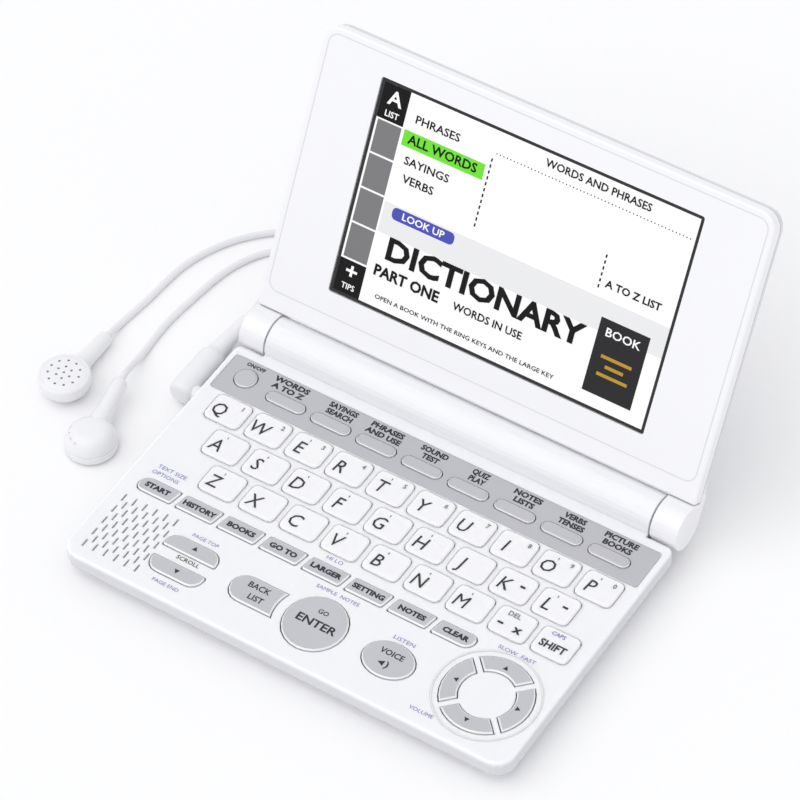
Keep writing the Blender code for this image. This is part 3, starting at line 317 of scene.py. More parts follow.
slotFinishes = {  # by the start of the slot's name
    "white_shell": shellWhite, "key_white": keyWhite, "key_silver": keySilver, "display_black": screenBlack,
    "board_green": boardGreen, "rubber_pale": sheetPale, "speaker_black": speakerCloth,
    "battery_metal": cellMetal, "pin_steel": pinSteel, "cord_white": cordWhite, "bud_white": budWhite,
    "plug_white": plugWhite,
}


nodeFinishes = {"mode_keys": pillSilver, "lid_back_cover": backWhite, "lid_inner_cover": lidWhite}


def dressNodes():
    for name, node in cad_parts.items():
        if not node.material_slots:
            node.data.materials.append(shellWhite)
        for place in node.material_slots:
            before = place.material.name if place.material else ""
            found = [finish for slot, finish in slotFinishes.items() if before.startswith(slot)]
            place.link = "OBJECT"
            place.material = nodeFinishes.get(name) or (found[0] if found else shellWhite)


dressNodes()
print("finishes made")


# modelling helpers

capitalShare = 0.69  # a capital's height in Blender's own font
mergeWithin = 0.005


def deselectAll():
    if bpy.context.object and bpy.context.object.mode != "OBJECT":
        bpy.ops.object.mode_set(mode="OBJECT")
    bpy.ops.object.select_all(action="DESELECT")


def chosen(item):
    deselectAll()
    item.select_set(True)
    bpy.context.view_layer.objects.active = item


def applyModifiers(item):
    chosen(item)
    for modifier in list(item.modifiers):
        bpy.ops.object.modifier_apply(modifier=modifier.name)


def settle(item, name, material, body, matrix=baseMatrix, smooth=30):
    # the mesh takes the piece's place in metres, the object goes to the origin and rides on its body
    chosen(item)
    bpy.ops.object.transform_apply(location=True, rotation=True, scale=True)
    item.data.transform(matrix)
    item.name = name
    item.data.name = name
    item.data.materials.clear()
    item.data.materials.append(material)
    if smooth:
        bpy.ops.object.shade_smooth_by_angle(angle=math.radians(smooth))
    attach(item, body)
    return item


def joined(items):
    chosen(items[0])
    for item in items[1:]:
        item.select_set(True)
    bpy.context.view_layer.objects.active = items[0]
    if len(items) > 1:
        bpy.ops.object.join()
    return items[0]


def plate(xLow, xHigh, yLow, yHigh, z, radius=0.0, thickness=0.0, steps=3):
    # a flat plate with rounded corners, upper face at z
    deselectAll()
    middle = Vector(((xLow + xHigh) / 2, (yLow + yHigh) / 2, z)) * mm
    bpy.ops.mesh.primitive_plane_add(size=1, location=middle)
    item = bpy.context.object
    item.scale = ((xHigh - xLow) * mm, (yHigh - yLow) * mm, 1)
    bpy.ops.object.transform_apply(location=True, rotation=True, scale=True)
    bpy.ops.object.mode_set(mode="EDIT")
    bpy.ops.mesh.select_all(action="SELECT")
    if radius:
        bpy.ops.mesh.bevel(offset=radius * mm, segments=steps, affect="VERTICES")
    if thickness:
        bpy.ops.mesh.select_all(action="SELECT")
        bpy.ops.mesh.extrude_region_move(TRANSFORM_OT_translate={"value": (0, 0, -thickness * mm)})
        bpy.ops.mesh.select_all(action="SELECT")
        bpy.ops.mesh.normals_make_consistent(inside=False)
    bpy.ops.object.mode_set(mode="OBJECT")
    return item


def words(text, x, y, z, height, wide=1.0, heavy=0.0, lean=0.0):
    # flat printed lettering, height is that of a capital
    deselectAll()
    bpy.ops.object.text_add()
    item = bpy.context.object
    item.data.body = text
    item.data.align_x, item.data.align_y = "CENTER", "CENTER"
    item.data.size = height * mm / capitalShare
    item.data.offset = 0 if "M" in text else heavy * mm  # a widened M closes up
    item.data.shear = lean
    item.data.resolution_u = 2
    bpy.ops.object.convert(target="MESH")
    item = bpy.context.object
    item.scale = (wide, 1, 1)
    item.location = Vector((x, y, z)) * mm
    bpy.ops.object.transform_apply(location=True, rotation=True, scale=True)
    return item


def spun(profile, steps):
    # a body turned about Z from a profile of (radius, height), lowest first
    mesh = bpy.data.meshes.new("profile")
    mesh.from_pydata([(radius * mm, 0, height * mm) for radius, height in profile],
                     [(i, i + 1) for i in range(len(profile) - 1)], [])
    item = bpy.data.objects.new("profile", mesh)
    scene.collection.objects.link(item)
    chosen(item)
    bpy.ops.object.mode_set(mode="EDIT")
    bpy.ops.mesh.select_all(action="SELECT")
    bpy.ops.mesh.spin(steps=steps, angle=math.tau, center=(0, 0, 0), axis=(0, 0, 1))
    bpy.ops.mesh.select_all(action="SELECT")
    bpy.ops.mesh.remove_doubles(threshold=mergeWithin * mm)
    bpy.ops.mesh.normals_make_consistent(inside=False)
    bpy.ops.object.mode_set(mode="OBJECT")
    return item


def laid(item, place, angle, axis):
    # turns a spun body away from Z and moves it to its place
    item.data.transform(Matrix.Translation(Vector(place) * mm) @ Matrix.Rotation(angle, 4, axis))
    return item


def cutWith(item, tools):
    tool = joined(tools)
    modifier = item.modifiers.new("cut", "BOOLEAN")
    modifier.operation = "DIFFERENCE"
    modifier.solver = "EXACT"
    modifier.object = tool
    applyModifiers(item)
    bpy.data.objects.remove(tool, do_unlink=True)
    return item


# earphone cords

cords = {
    "radius": 1.0,
    "step": 5.5,
    "plugEnd": (-80.5, 101.8, 4.6),
    "mainRoute": [(-81.2, 112.5, 4.0), (-82.6, 119.0, 2.6), (-80.0, 127.0, 1.3), (-72.0, 132.5, 1.0),
                  (-56.0, 135.2, 1.0), (-36.0, 135.4, 1.0)],
    "leftRoute": [(-113.4, 85.0, 1.0), (-112.2, 96.0, 1.0), (-110.5, 113.7, 1.0), (-105.0, 127.1, 1.0),
                  (-96.9, 136.8, 1.0), (-86.0, 145.0, 1.0), (-76.0, 153.5, 1.2)],
    "rightRoute": [(-99.7, 72.0, 3.4), (-101.0, 79.0, 1.1), (-101.8, 91.0, 1.0), (-100.8, 103.0, 1.0),
                   (-98.6, 117.6, 1.0), (-94.0, 128.0, 1.0), (-88.0, 134.6, 1.0), (-80.0, 142.0, 1.0),
                   (-74.0, 149.5, 1.2)],
    "tailRoute": [(-8.0, 173.6, 3.0), (-22.0, 169.0, 1.2), (-34.0, 160.5, 1.0), (-42.0, 155.4, 1.3)],
    "coilMiddle": (8.0, 154.0),
    "coilRadius": 19.0,
    "coilPitch": 2.45,
    "coilTurns": 4,
    "coilLayers": 2,
    "coilLead": 24.0,
    "pointsPerTurn": 24,
    "splitter": (-56.0, 154.5),
    "splitterLength": 12.0,
    "splitterWidth": 6.4,
    "splitterHeight": 3.2,
    "splitterNarrowing": 0.55,
    "splitterRound": 0.9,
    "branchOffset": 1.6,
    "gap": 0.3,
}

buds = {
    "depth": 8.0,
    "stemLength": 21.8,
    "axisDepth": 3.8,
    "stemRadii": (2.6, 2.3),
    "left": (-112.7, 55.6, 91.5, True),  # place, heading in degrees, face up
    "right": (-93.6, 41.8, 101.0, False),
}


def smoothRoute(points, step=cords["step"], fine=24):
    # even points along one smooth curve through the chosen ones, never below the table
    route = [Vector(point) for point in points]
    first, last = route[0], route[-1]
    route = [2 * route[0] - route[1]] + route + [2 * route[-1] - route[-2]]
    dense = []
    for a, b, c, d in zip(route, route[1:], route[2:], route[3:]):
        for i in range(fine):
            t = i / fine
            dense.append(0.5 * (2 * b + (c - a) * t + (2 * a - 5 * b + 4 * c - d) * t * t
                                + (3 * b - a - 3 * c + d) * t * t * t))
    dense = dense[fine:-fine] + [route[-3]]
    lengths = [0.0]
    for here, after in zip(dense, dense[1:]):
        lengths.append(lengths[-1] + (after - here).length)
    wanted = np.linspace(0, lengths[-1], max(2, round(lengths[-1] / step)) + 1)
    axes = [np.interp(wanted, lengths, [point[k] for point in dense]) for k in range(3)]
    axes[2] = np.maximum(axes[2], cords["radius"])
    return [first] + [Vector(point) for point in zip(*axes)] + [last]


def straightEnd(point, direction):
    # a cord leaves a piece straight
    point = Vector(point)
    return [point, point + Vector(direction).normalized() * 2 * cords["radius"]]


def coilPoints():
    # turns side by side, then a second layer on them, with the lead before and the tail after
    perLayer, layers, middle = cords["coilTurns"], cords["coilLayers"], cords["coilMiddle"]
    points = []
    for i in range(round((perLayer * layers + 0.5) * cords["pointsPerTurn"]) + 1):
        t = i / cords["pointsPerTurn"]
        layer = min(int(t / perLayer), layers - 1)
        into = t - layer * perLayer
        travelled = into if layer % 2 == 0 else perLayer - into
        radius = cords["coilRadius"] - cords["coilPitch"] * travelled
        near = round(t / perLayer)
        climb = min(max((t - near * perLayer) * 2 + 0.5, 0), 1)
        level = min(max(near - 1 + climb * climb * (3 - 2 * climb), 0), layers - 1)
        angle = -math.pi / 2 + math.tau * t
        points.append(Vector((middle[0] + radius * math.cos(angle), middle[1] + radius * math.sin(angle),
                              cords["radius"] + level * cords["coilPitch"])))
    steps = round(cords["coilLead"] / cords["step"])
    startX, startY = middle[0] - cords["coilLead"], middle[1] - cords["coilRadius"]
    lead = [Vector((startX + cords["coilLead"] * i / steps, startY, cords["radius"])) for i in range(steps)]
    end = (cords["splitter"][0] + cords["splitterLength"] / 2 + cords["gap"], cords["splitter"][1],
           cords["splitterHeight"] / 2)
    tail = smoothRoute(straightEnd(points[-1], (-1, 0, 0)) + cords["tailRoute"]
                       + straightEnd(end, (1, 0, 0))[::-1])[1:]
    return lead + points + tail


def budMatrix(x, y, heading, faceUp):
    # a bud is modelled with its face at z = 0 and its stem towards X
    turn = Matrix.Rotation(math.radians(heading), 4, "Z")
    if faceUp:
        return Matrix.Translation((x, y, buds["depth"])) @ turn
    return Matrix.Translation((x, y, 0)) @ turn @ Matrix.Rotation(math.pi, 4, "X")


def stemRun():
    # the stem slopes down until its end lies on the table
    drop = buds["depth"] - buds["stemRadii"][1] - buds["axisDepth"]
    return math.hypot(buds["stemLength"], drop), math.atan2(drop, buds["stemLength"])


def stemEnd(matrix):
    run, slope = stemRun()
    direction = Vector((math.cos(slope), 0, -math.sin(slope)))
    point = Vector((0, 0, -buds["axisDepth"])) + direction * (run + cords["gap"])
    return straightEnd(matrix @ point, matrix.to_3x3() @ direction)


def cordCurve(name, points):
    curve = bpy.data.curves.new(name, "CURVE")
    curve.dimensions = "3D"
    curve.bevel_depth = cords["radius"] * mm
    curve.bevel_resolution = 3
    curve.resolution_u = 3
    curve.use_fill_caps = True
    line = curve.splines.new("BEZIER")
    line.bezier_points.add(len(points) - 1)
    for spot, point in zip(line.bezier_points, points):
        spot.co = at(*point)
        spot.handle_left_type = spot.handle_right_type = "AUTO"
    curve.materials.append(cordWhite)
    item = bpy.data.objects.new(name, curve)
    scene.collection.objects.link(item)
    bpy.context.view_layer.update()
    return item


def lengthOf(points):
    return sum((b - a).length for a, b in zip(points, points[1:])) * mm


def makeCords():
    startX, startY = cords["coilMiddle"][0] - cords["coilLead"], cords["coilMiddle"][1] - cords["coilRadius"]
    coilStart = (startX - cords["gap"], startY, cords["radius"])
    free = smoothRoute(straightEnd(cords["plugEnd"], (0, 1, 0)) + cords["mainRoute"]
                       + straightEnd(coilStart, (-1, 0, 0))[::-1])
    route = free[:-1] + coilPoints()
    main = cordCurve("earphone_cord", route)
    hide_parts("main_cord", "main_cord_coil")
    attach(main, "earphones")
    made = {"main": (main, route)}
    for side, sign in (("left", 1), ("right", -1)):
        branch = (cords["splitter"][0] - cords["splitterLength"] / 2 - cords["gap"],
                  cords["splitter"][1] + sign * cords["branchOffset"], cords["splitterHeight"] / 2)
        route = smoothRoute(stemEnd(budMatrix(*buds[side])) + cords[side + "Route"]
                            + straightEnd(branch, (-1, 0, 0))[::-1])[::-1]
        item = cordCurve(side + "_branch_cord", route)
        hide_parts(side + "_cord")
        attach(item, "earphones")
        made[side] = (item, route)
    return made


madeCords = makeCords()
print("cords made,", [round(lengthOf(route), 4) for item, route in madeCords.values()], "m")


# plug, splitter and coil tie

plug = {
    "x": -80.5, "y": 67.8, "z": 4.6,
    "bodyLength": 18.5, "bodyRadius": 4.2,
    "roundEnd": ((1.6, 0.05), (0.9, 0.3), (0.35, 0.85), (0.08, 1.6), (0, 2.4)),  # inset, height
    "shoulder": ((0, 2.2), (0.2, 1.2), (0.6, 0.4)),  # inset, distance from the body's end
    "reliefLength": 16.3, "reliefRadii": (3.2, 1.75), "reliefGrooves": 9, "reliefLip": 0.1,
    "grooveDepth": 0.25, "ribStart": 0.15, "ribShares": (0.6, 0.68, 0.92),
    "collar": ((0, 0), (2.3, 0), (2.6, 0.3), (2.6, 5.5), (2.4, 5.75), (0, 5.75)),  # radius, height
    "collarInset": 0.1, "shaftY": 71.0, "shaftStart": -76.4, "shaftEnd": -60.55, "shaftRadius": 1.75,
    "rings": (6.4, 9.6), "ringDepth": 0.12, "ringEdge": 0.05, "ringWidth": 0.8,  # slight grooves
    "tip": ((0, 3.4), (0.45, 2.7), (0.1, 1.9), (0.85, 0.3)),  # inset, distance from the shaft's end
}

tie = {"width": 4.0, "inner": 8.6, "outer": 20.6, "height": 5.2, "thickness": 0.25, "edge": 0.08}


def makePlug():
    r, length, lip = plug["bodyRadius"], plug["bodyLength"], plug["reliefLip"]
    start, end = plug["reliefRadii"]
    profile = [(0, 0)] + [(r - inset, height) for inset, height in plug["roundEnd"]]
    profile += [(r - inset, length - below) for inset, below in plug["shoulder"]] + [(start + lip, length)]
    step = plug["reliefLength"] / plug["reliefGrooves"]
    ribEnd, grooveStart, grooveEnd = [step * share for share in plug["ribShares"]]
    for i in range(plug["reliefGrooves"]):
        radius = start + (end - start) * i / (plug["reliefGrooves"] - 1)
        low, inner = length + i * step, radius - plug["grooveDepth"]
        profile += [(radius, low + plug["ribStart"]), (radius, low + ribEnd), (inner, low + grooveStart),
                    (inner, low + grooveEnd)]
    profile += [(end - lip, length + plug["reliefLength"]), (0, length + plug["reliefLength"])]
    item = laid(spun(profile, 32), (plug["x"], plug["y"], plug["z"]), -math.pi / 2, "X")
    collar = laid(spun(plug["collar"], 28), (plug["x"] + plug["collarInset"], plug["shaftY"], plug["z"]),
                  math.pi / 2, "Y")
    body = settle(joined([item, collar]), "plug_body", plugWhite, "earphones", smooth=38)
    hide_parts("earphone_plug")

    r, edge, wide = plug["shaftRadius"], plug["ringEdge"], plug["ringWidth"]
    reach, inner = plug["shaftEnd"] - plug["shaftStart"], r - plug["ringDepth"]
    profile = [(0, 0), (r, 0)]
    for ring in plug["rings"]:
        profile += [(r, ring), (inner, ring + edge), (inner, ring + wide - edge), (r, ring + wide)]
    profile += [(r - inset, reach - below) for inset, below in plug["tip"]] + [(0, reach)]
    shaft = laid(spun(profile, 24), (plug["shaftStart"], plug["shaftY"], plug["z"]), math.pi / 2, "Y")
    settle(shaft, "plug_shaft", pinSteel, "earphones", smooth=38)


def makeSplitter():
    deselectAll()
    bpy.ops.mesh.primitive_cube_add(size=1)
    item = bpy.context.object
    item.scale = Vector((cords["splitterLength"], cords["splitterWidth"], cords["splitterHeight"])) * mm
    item.location = Vector((*cords["splitter"], cords["splitterHeight"] / 2)) * mm
    bpy.ops.object.transform_apply(location=True, rotation=True, scale=True)
    middleX, middleY = (value * mm for value in cords["splitter"])
    for vertex in item.data.vertices:  # narrower where the single cord comes in
        if vertex.co.x > middleX:
            vertex.co.y = middleY + (vertex.co.y - middleY) * cords["splitterNarrowing"]
    bevel = item.modifiers.new("round", "BEVEL")
    bevel.width, bevel.segments, bevel.limit_method = cords["splitterRound"] * mm, 4, "ANGLE"
    applyModifiers(item)
    settle(item, "cord_split", plugWhite, "earphones", smooth=40)
    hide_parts("cord_splitter")


def makeTie():
    # a soft strap round all the turns, at the side of the coil away from the lead
    deselectAll()
    bpy.ops.mesh.primitive_circle_add(vertices=40, radius=1, fill_type="NOTHING")
    item = bpy.context.object
    halfWidth, halfHeight = (tie["outer"] - tie["inner"]) / 2, tie["height"] / 2
    for vertex in item.data.vertices:  # a rounded box
        across, up = vertex.co.x, vertex.co.y
        vertex.co.x = math.copysign(abs(across) ** 0.5, across) * halfWidth * mm
        vertex.co.z = math.copysign(abs(up) ** 0.5, up) * halfHeight * mm
        vertex.co.y = -tie["width"] / 2 * mm
    bpy.ops.object.mode_set(mode="EDIT")
    bpy.ops.mesh.select_all(action="SELECT")
    bpy.ops.mesh.extrude_region_move(TRANSFORM_OT_translate={"value": (0, tie["width"] * mm, 0)})
    bpy.ops.mesh.select_all(action="SELECT")
    bpy.ops.mesh.normals_make_consistent(inside=False)
    bpy.ops.object.mode_set(mode="OBJECT")
    wall = item.modifiers.new("wall", "SOLIDIFY")
    wall.thickness, wall.offset = tie["thickness"] * mm, -1
    soft = item.modifiers.new("soft", "BEVEL")
    soft.width, soft.segments, soft.limit_method = tie["edge"] * mm, 2, "ANGLE"
    applyModifiers(item)
    middle = (tie["outer"] + tie["inner"]) / 2
    item.location = Vector((cords["coilMiddle"][0] + middle, cords["coilMiddle"][1], halfHeight)) * mm
    settle(item, "coil_tie", padRubber, "earphones")


makePlug()
makeSplitter()
makeTie()


# earbuds

budShape = {
    "housing": ((0, -8.0), (3.0, -7.98), (4.4, -7.7), (5.6, -7.1), (6.5, -6.2), (7.2, -5.0),  # radius, height
                (7.66, -3.95), (7.7, -3.6), (7.55, -3.5), (7.55, -3.38), (7.9, -3.3), (7.9, -1.3),
                (7.72, -0.85), (7.35, -0.5), (7.0, -0.42), (6.85, -0.5), (6.7, -0.36), (5.2, -0.14),
                (3.0, -0.03), (0, 0)),
    "stemStart": ((0, 0), (3.3, 0), (3.25, 7.2), (3.0, 8.6), (2.72, 10.2), (2.55, 13.0)),
    "stemTip": ((2.42, 2.2), (2.36, 1.9), (2.2, 1.8), (2.2, 1.6), (2.34, 1.5), (2.25, 0.6), (1.9, 0.15),
                (1.5, 0), (0, 0)),  # radius, distance from the stem's end
    "holeRings": ((0.0, 1), (2.3, 6), (4.8, 11)), "holeRadius": 0.42, "holeDepth": 0.5, "holeTurn": 0.3,
    "ventAngles": (200, 222, 244, 266), "ventPlace": (6.0, -7.0), "vent": (1.3, 0.5, 1.4),
    # a dark disc under the grille, painted shade for the holes
    "shadeDiscRadius": 5.6, "shadeDiscDepth": 0.56, "shadeDiscThickness": 0.2,
}


def roundAbout(radius, angle, z):
    return Vector((radius * math.cos(angle), radius * math.sin(angle), z)) * mm


def makeBud(side):
    turn = budMatrix(*buds[side])
    turn.translation *= mm
    housing = spun(budShape["housing"], 48)
    tools = []
    for radius, count in budShape["holeRings"]:
        for i in range(count):
            spot = roundAbout(radius, math.tau * i / count + budShape["holeTurn"], 1 - budShape["holeDepth"])
            bpy.ops.mesh.primitive_cylinder_add(vertices=10, radius=budShape["holeRadius"] * mm, depth=2 * mm,
                                                location=spot)
            tools.append(bpy.context.object)
    ventRadius, ventZ = budShape["ventPlace"]
    for angle in budShape["ventAngles"]:  # vents on the back, away from the stem
        angle = math.radians(angle)
        bpy.ops.mesh.primitive_cube_add(size=1 * mm, location=roundAbout(ventRadius, angle, ventZ),
                                        rotation=(0, 0, angle + math.pi / 2))
        bpy.context.object.scale = budShape["vent"]
        tools.append(bpy.context.object)
    cutWith(housing, tools)
    run, slope = stemRun()
    profile = list(budShape["stemStart"]) + [(radius, run - back) for radius, back in budShape["stemTip"]]
    stem = laid(spun(profile, 28), (0, 0, -buds["axisDepth"]), slope + math.pi / 2, "Y")
    item = settle(joined([housing, stem]), side + "_bud_shell", budWhite, "earphones", baseMatrix @ turn,
                  smooth=36)
    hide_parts(side + "_earbud")
    # the dark disc under the grille holes is painted shade
    deselectAll()
    bpy.ops.mesh.primitive_cylinder_add(vertices=32, radius=budShape["shadeDiscRadius"] * mm,
                                        depth=budShape["shadeDiscThickness"] * mm,
                                        location=(0, 0, -budShape["shadeDiscDepth"] * mm))
    settle(bpy.context.object, side + "_bud_mesh", budHoleShade, "earphones", baseMatrix @ turn)


makeBud("left")
makeBud("right")
print("plug, splitter, tie and earbuds made")


# grey strip round the mode keys

strip = {"area": (-72.25, 72.25, 72.4, 86.4), "top": 9.6, "thickness": 0.28, "corner": 1.2, "gap": 0.35}
pills = {"firstX": -49.6, "pitch": 15.64, "count": 8, "y": 78.2, "length": 13.0, "width": 3.8}
power = {"x": -64.7, "y": 79.9, "radius": 3.4}
cutTop, cutDepth, cornerRest = 11, 3, 0.02  # tools reach from cutTop down, ends nearly half round


def roundTool(x, y, halfLength, halfWidth, steps):
    return plate(x - halfLength, x + halfLength, y - halfWidth, y + halfWidth, cutTop, halfWidth - cornerRest,
                 cutDepth, steps)


def makeStrip():
    item = plate(*strip["area"], strip["top"], strip["corner"], strip["thickness"])
    halfLength, halfWidth = pills["length"] / 2 + strip["gap"], pills["width"] / 2 + strip["gap"]
    tools = [roundTool(pills["firstX"] + i * pills["pitch"], pills["y"], halfLength, halfWidth, 6)
             for i in range(pills["count"])]
    side = power["radius"] + strip["gap"]
    tools.append(roundTool(power["x"], power["y"], side, side, 8))
    cutWith(item, tools)
    settle(item, "mode_strip", stripSilver, "base")


makeStrip()


# feet, screws and battery cover grip

under = {
    "feet": ((-60.25, 13.0), (60.25, 13.0), (-60.25, 69.7), (60.25, 69.7)),
    "foot": ((0, -0.03), (3.2, -0.03), (3.85, 0.02), (4.1, 0.25), (4.1, 0.78), (0, 0.78)),  # radius, height
    "screws": ((-62.25, 24.0), (62.25, 24.0), (-62.25, 56.0), (62.25, 56.0)),
    "screw": ((0, 0.55), (1.4, 0.55), (1.8, 0.68), (1.9, 0.85), (1.9, 1.6), (0, 1.6)),
    "cross": (2.2, 0.45, 0.8), "crossHeights": (0.6, 0.62), "crossTurn": 0.4,
    "gripX": (-7.0, 7.0), "gripY": (94.0, 95.6, 97.2, 98.8), "ribHalf": 0.35, "ribTop": 1.1,
    "ribCorner": 0.3, "ribDepth": 0.55,
}


def makeUnderside():
    for i, (x, y) in enumerate(under["feet"]):
        foot = spun(under["foot"], 36)
        foot.location = Vector((x, y, 0)) * mm
        settle(foot, f"foot_pad_{i + 1}", padRubber, "base")
    for i, (x, y) in enumerate(under["screws"]):
        screw = spun(under["screw"], 28)
        for turned, z in zip((0, math.pi / 2), under["crossHeights"]):
            bpy.ops.mesh.primitive_cube_add(size=1 * mm, location=(0, 0, z * mm),
                                            rotation=(0, 0, turned + under["crossTurn"] * i))
            bpy.context.object.scale = under["cross"]
            cutWith(screw, [bpy.context.object])
        screw.location = Vector((x, y, 0)) * mm
        settle(screw, f"case_screw_{i + 1}", pinSteel, "base")
    half = under["ribHalf"]
    ribs = [plate(*under["gripX"], y - half, y + half, under["ribTop"], under["ribCorner"], under["ribDepth"])
            for y in under["gripY"]]
    settle(joined(ribs), "battery_cover_grip", shellWhite, "battery_door")


makeUnderside()
print("strip and underside made")


# printing on the keys and the deck

legends = {  # each word is a text, its place, capital height, width share and weight
    "letterTop": 10.42, "keyTop": 10.32, "deckTop": 9.815, "stripTop": 9.615,
    "firstX": -61.725, "stepX": 13.95, "stagger": 6.975, "firstY": 66.6, "stepY": 11.57,
    "rows": ("QWERTYUIOP", "ASDFGHJKL", "ZXCVBNM"), "digits": "1234567890", "ticks": "ETOPADFGSHLZVBNM",
    "letter": (-2.7, -0.9, 4.4, 0.92, 0.02), "letterLean": 0.12,
    "tick": (-1.1, 2.0, 2.2), "digit": (3.5, 2.5, 1.5, 1.0, 0.06), "dash": (2.6, 1.0, 3.0, 1.2, 0.16),
    "delete": (("-", -3.2, -1.0, 3.4, 1.3, 0.12), ("x", 2.4, -1.4, 2.7, 1.1, 0.14)),
    "deleteWord": (("DEL", -1.0, 2.7, 1.6, 1.0, 0.05),),
    "shift": (("SHIFT", -0.2, -1.3, 2.4, 0.95, 0.10),), "caps": (("CAPS", -0.8, 3.0, 1.3, 1.0, 0.03),),
    "modes": (("WORDS", "A TO Z", -2.0, 1.25), ("SAYINGS", "SEARCH", 0.3, 0.95),  # lines, shift, width share
              ("PHRASES", "AND USE", -0.2, 1.1), ("SOUND", "TEST", 0.3, 1.0), ("QUIZ", "PLAY", 0.3, 0.9),
              ("NOTES", "LISTS", 0.5, 1.15), ("VERBS", "TENSES", 0.6, 1.0), ("PICTURE", "BOOKS", 0.2, 1.1)),
    "modeRows": (84.75, 82.2), "modeHeight": 1.75, "modeHeavy": 0.13,
    "power": (("ON/OFF", -64.5, 85.0, 1.25, 0.95, 0.08),),
    "functions": ("START", "HISTORY", "BOOKS", "GO TO", "LARGER", "SETTING", "NOTES", "CLEAR"),
    "functionX": -62.5, "functionStep": 14.4, "functionY": 32.1,
    "functionHeight": 1.6, "functionHeavy": 0.13, "functionWide": 1.2, "functionRoom": 8.0,
    "back": (("BACK", -17.3, 17.2, 1.9, 1.0, 0.06), ("LIST", -16.2, 13.5, 1.9, 1.0, 0.06)),
    "enter": (("ENTER", 3.2, 14.9, 2.6, 1.15, 0.10), ("GO", 2.9, 19.3, 1.5, 1.0, 0.05)),
    "voice": (("VOICE", 27.2, 17.1, 1.8, 1.0, 0.07), (")", 28.0, 13.2, 2.0, 1.2, 0.08)),
    "voiceCone": (26.2, 13.2, 1.1, 90, 1.2),
    "arrows": {  # place, radius and turn
        "page_up": (-40.7, 19.4, 1.0, 0), "page_down": (-40.7, 10.3, 1.0, 180),
        "cursor_right": (66.7, 19.1, 0.95, -90), "cursor_up": (56.6, 29.2, 0.95, 0),
        "cursor_left": (46.9, 19.1, 0.95, 90), "cursor_down": (56.6, 9.0, 0.95, 180),
    },
    "deck": (("HI LO", -5.0, 36.8, 1.25, 1.2, 0), ("SAMPLE  NOTES", 2.6, 26.9, 1.2, 1.15, 0),
             ("PAGE TOP", -40.2, 23.8, 1.2, 1.1, 0), ("PAGE END", -40.9, 4.9, 1.2, 1.1, 0),
             ("LISTEN", 27.4, 22.9, 1.3, 1.25, 0), ("SLOW  FAST", 56.4, 35.2, 1.25, 1.2, 0),
             ("VOLUME", 44.5, 4.9, 1.25, 1.1, 0), ("TEXT SIZE", -62.6, 39.6, 1.35, 1.1, 0),
             ("OPTIONS", -63.4, 37.2, 1.35, 1.1, 0)),
    "scroll": (("SCROLL", -40.2, 15.0, 1.35, 1.1, 0.02),),
}

rim = {"place": (56.8, 19.1, 9.72), "radius": 15.4, "thickness": 0.28}
lips = {"half": (5.925, 4.85), "corner": 1.6, "opening": 0.38, "clear": 0.13, "top": 9.72, "deep": 0.4,
        "counts": (10, 9, 9)}
seam = {"low": 13.2, "high": 95.0, "half": 72.3, "corner": 3.4, "face": 0.02, "width": 0.3, "deep": 0.12}


def arrow(x, y, z, radius, turn=0.0, wide=1.0, corners=3):
    # a small flat printed shape, an arrow head unless it has more corners
    deselectAll()
    bpy.ops.mesh.primitive_circle_add(vertices=corners, radius=radius * mm, fill_type="NGON",
                                      location=(x * mm, y * mm, z * mm), rotation=(0, 0, math.radians(turn)))
    item = bpy.context.object
    item.scale = (1, wide, 1)
    bpy.ops.object.transform_apply(location=True, rotation=True, scale=True)
    return item


def wordsAt(lines, top, x=0.0, y=0.0):
    return [words(text, x + right, y + up, top, height, wide, heavy)
            for text, right, up, height, wide, heavy in lines]


def printed(items, name, ink, body, matrix=baseMatrix):
    return settle(joined(items), name, ink, body, matrix, smooth=0)


def keyPlace(row, i):
    x = legends["firstX"] + i * legends["stepX"] + row * legends["stagger"]
    return x, legends["firstY"] - row * legends["stepY"]


def makeLetterLegends():
    top = legends["letterTop"]
    for row, letters in enumerate(legends["rows"]):
        for i, letter in enumerate(letters):
            x, y = keyPlace(row, i)
            body = "key_" + letter + "_cap"
            right, up, height, wide, heavy = legends["letter"]
            items = [words(letter, x + right, y + up, top, height, wide, heavy, legends["letterLean"])]
            if letter in legends["ticks"]:
                right, up, height = legends["tick"]
                items.append(words("'", x + right, y + up, top, height))
            printed(items, "legend_" + letter, inkBlack, body)
            if row == 0:
                small = wordsAt([(legends["digits"][i], *legends["digit"])], top, x, y)
                printed(small, "digit_" + letter, inkGrey, body)
            elif letter in "KL":
                printed(wordsAt([("-", *legends["dash"])], top, x, y), "digit_" + letter, inkBlack, body)


def makeEditLegends():
    top, keysBefore = legends["letterTop"], len(legends["rows"][2])
    for i, key, piece, part, ink in ((0, "delete", "legend_delete_word", "deleteWord", inkGrey),
                                     (0, "delete", "legend_delete", "delete", inkBlack),
                                     (1, "shift", "legend_shift", "shift", inkBlack),
                                     (1, "shift", "legend_caps", "caps", inkMauve)):
        lines = wordsAt(legends[part], top, *keyPlace(2, keysBefore + i))
        printed(lines, piece, ink, "key_" + key + "_cap")


def makeModeLegends():
    top, items = legends["stripTop"], []
    for i, (upper, lower, shift, wide) in enumerate(legends["modes"]):
        x = pills["firstX"] + i * pills["pitch"] + shift
        for text, y in zip((upper, lower), legends["modeRows"]):
            items.append(words(text, x, y, top, legends["modeHeight"], wide, legends["modeHeavy"]))
    printed(items + wordsAt(legends["power"], top), "mode_words", inkBlack, "base")


def makeFunctionLegends():
    items = []
    for i, text in enumerate(legends["functions"]):
        x = legends["functionX"] + i * legends["functionStep"]
        wide = min(legends["functionWide"], legends["functionRoom"] / len(text))
        items.append(words(text, x, legends["functionY"], legends["keyTop"], legends["functionHeight"], wide,
                           legends["functionHeavy"]))
    printed(items, "function_words", inkBlack, "function_keys_body")


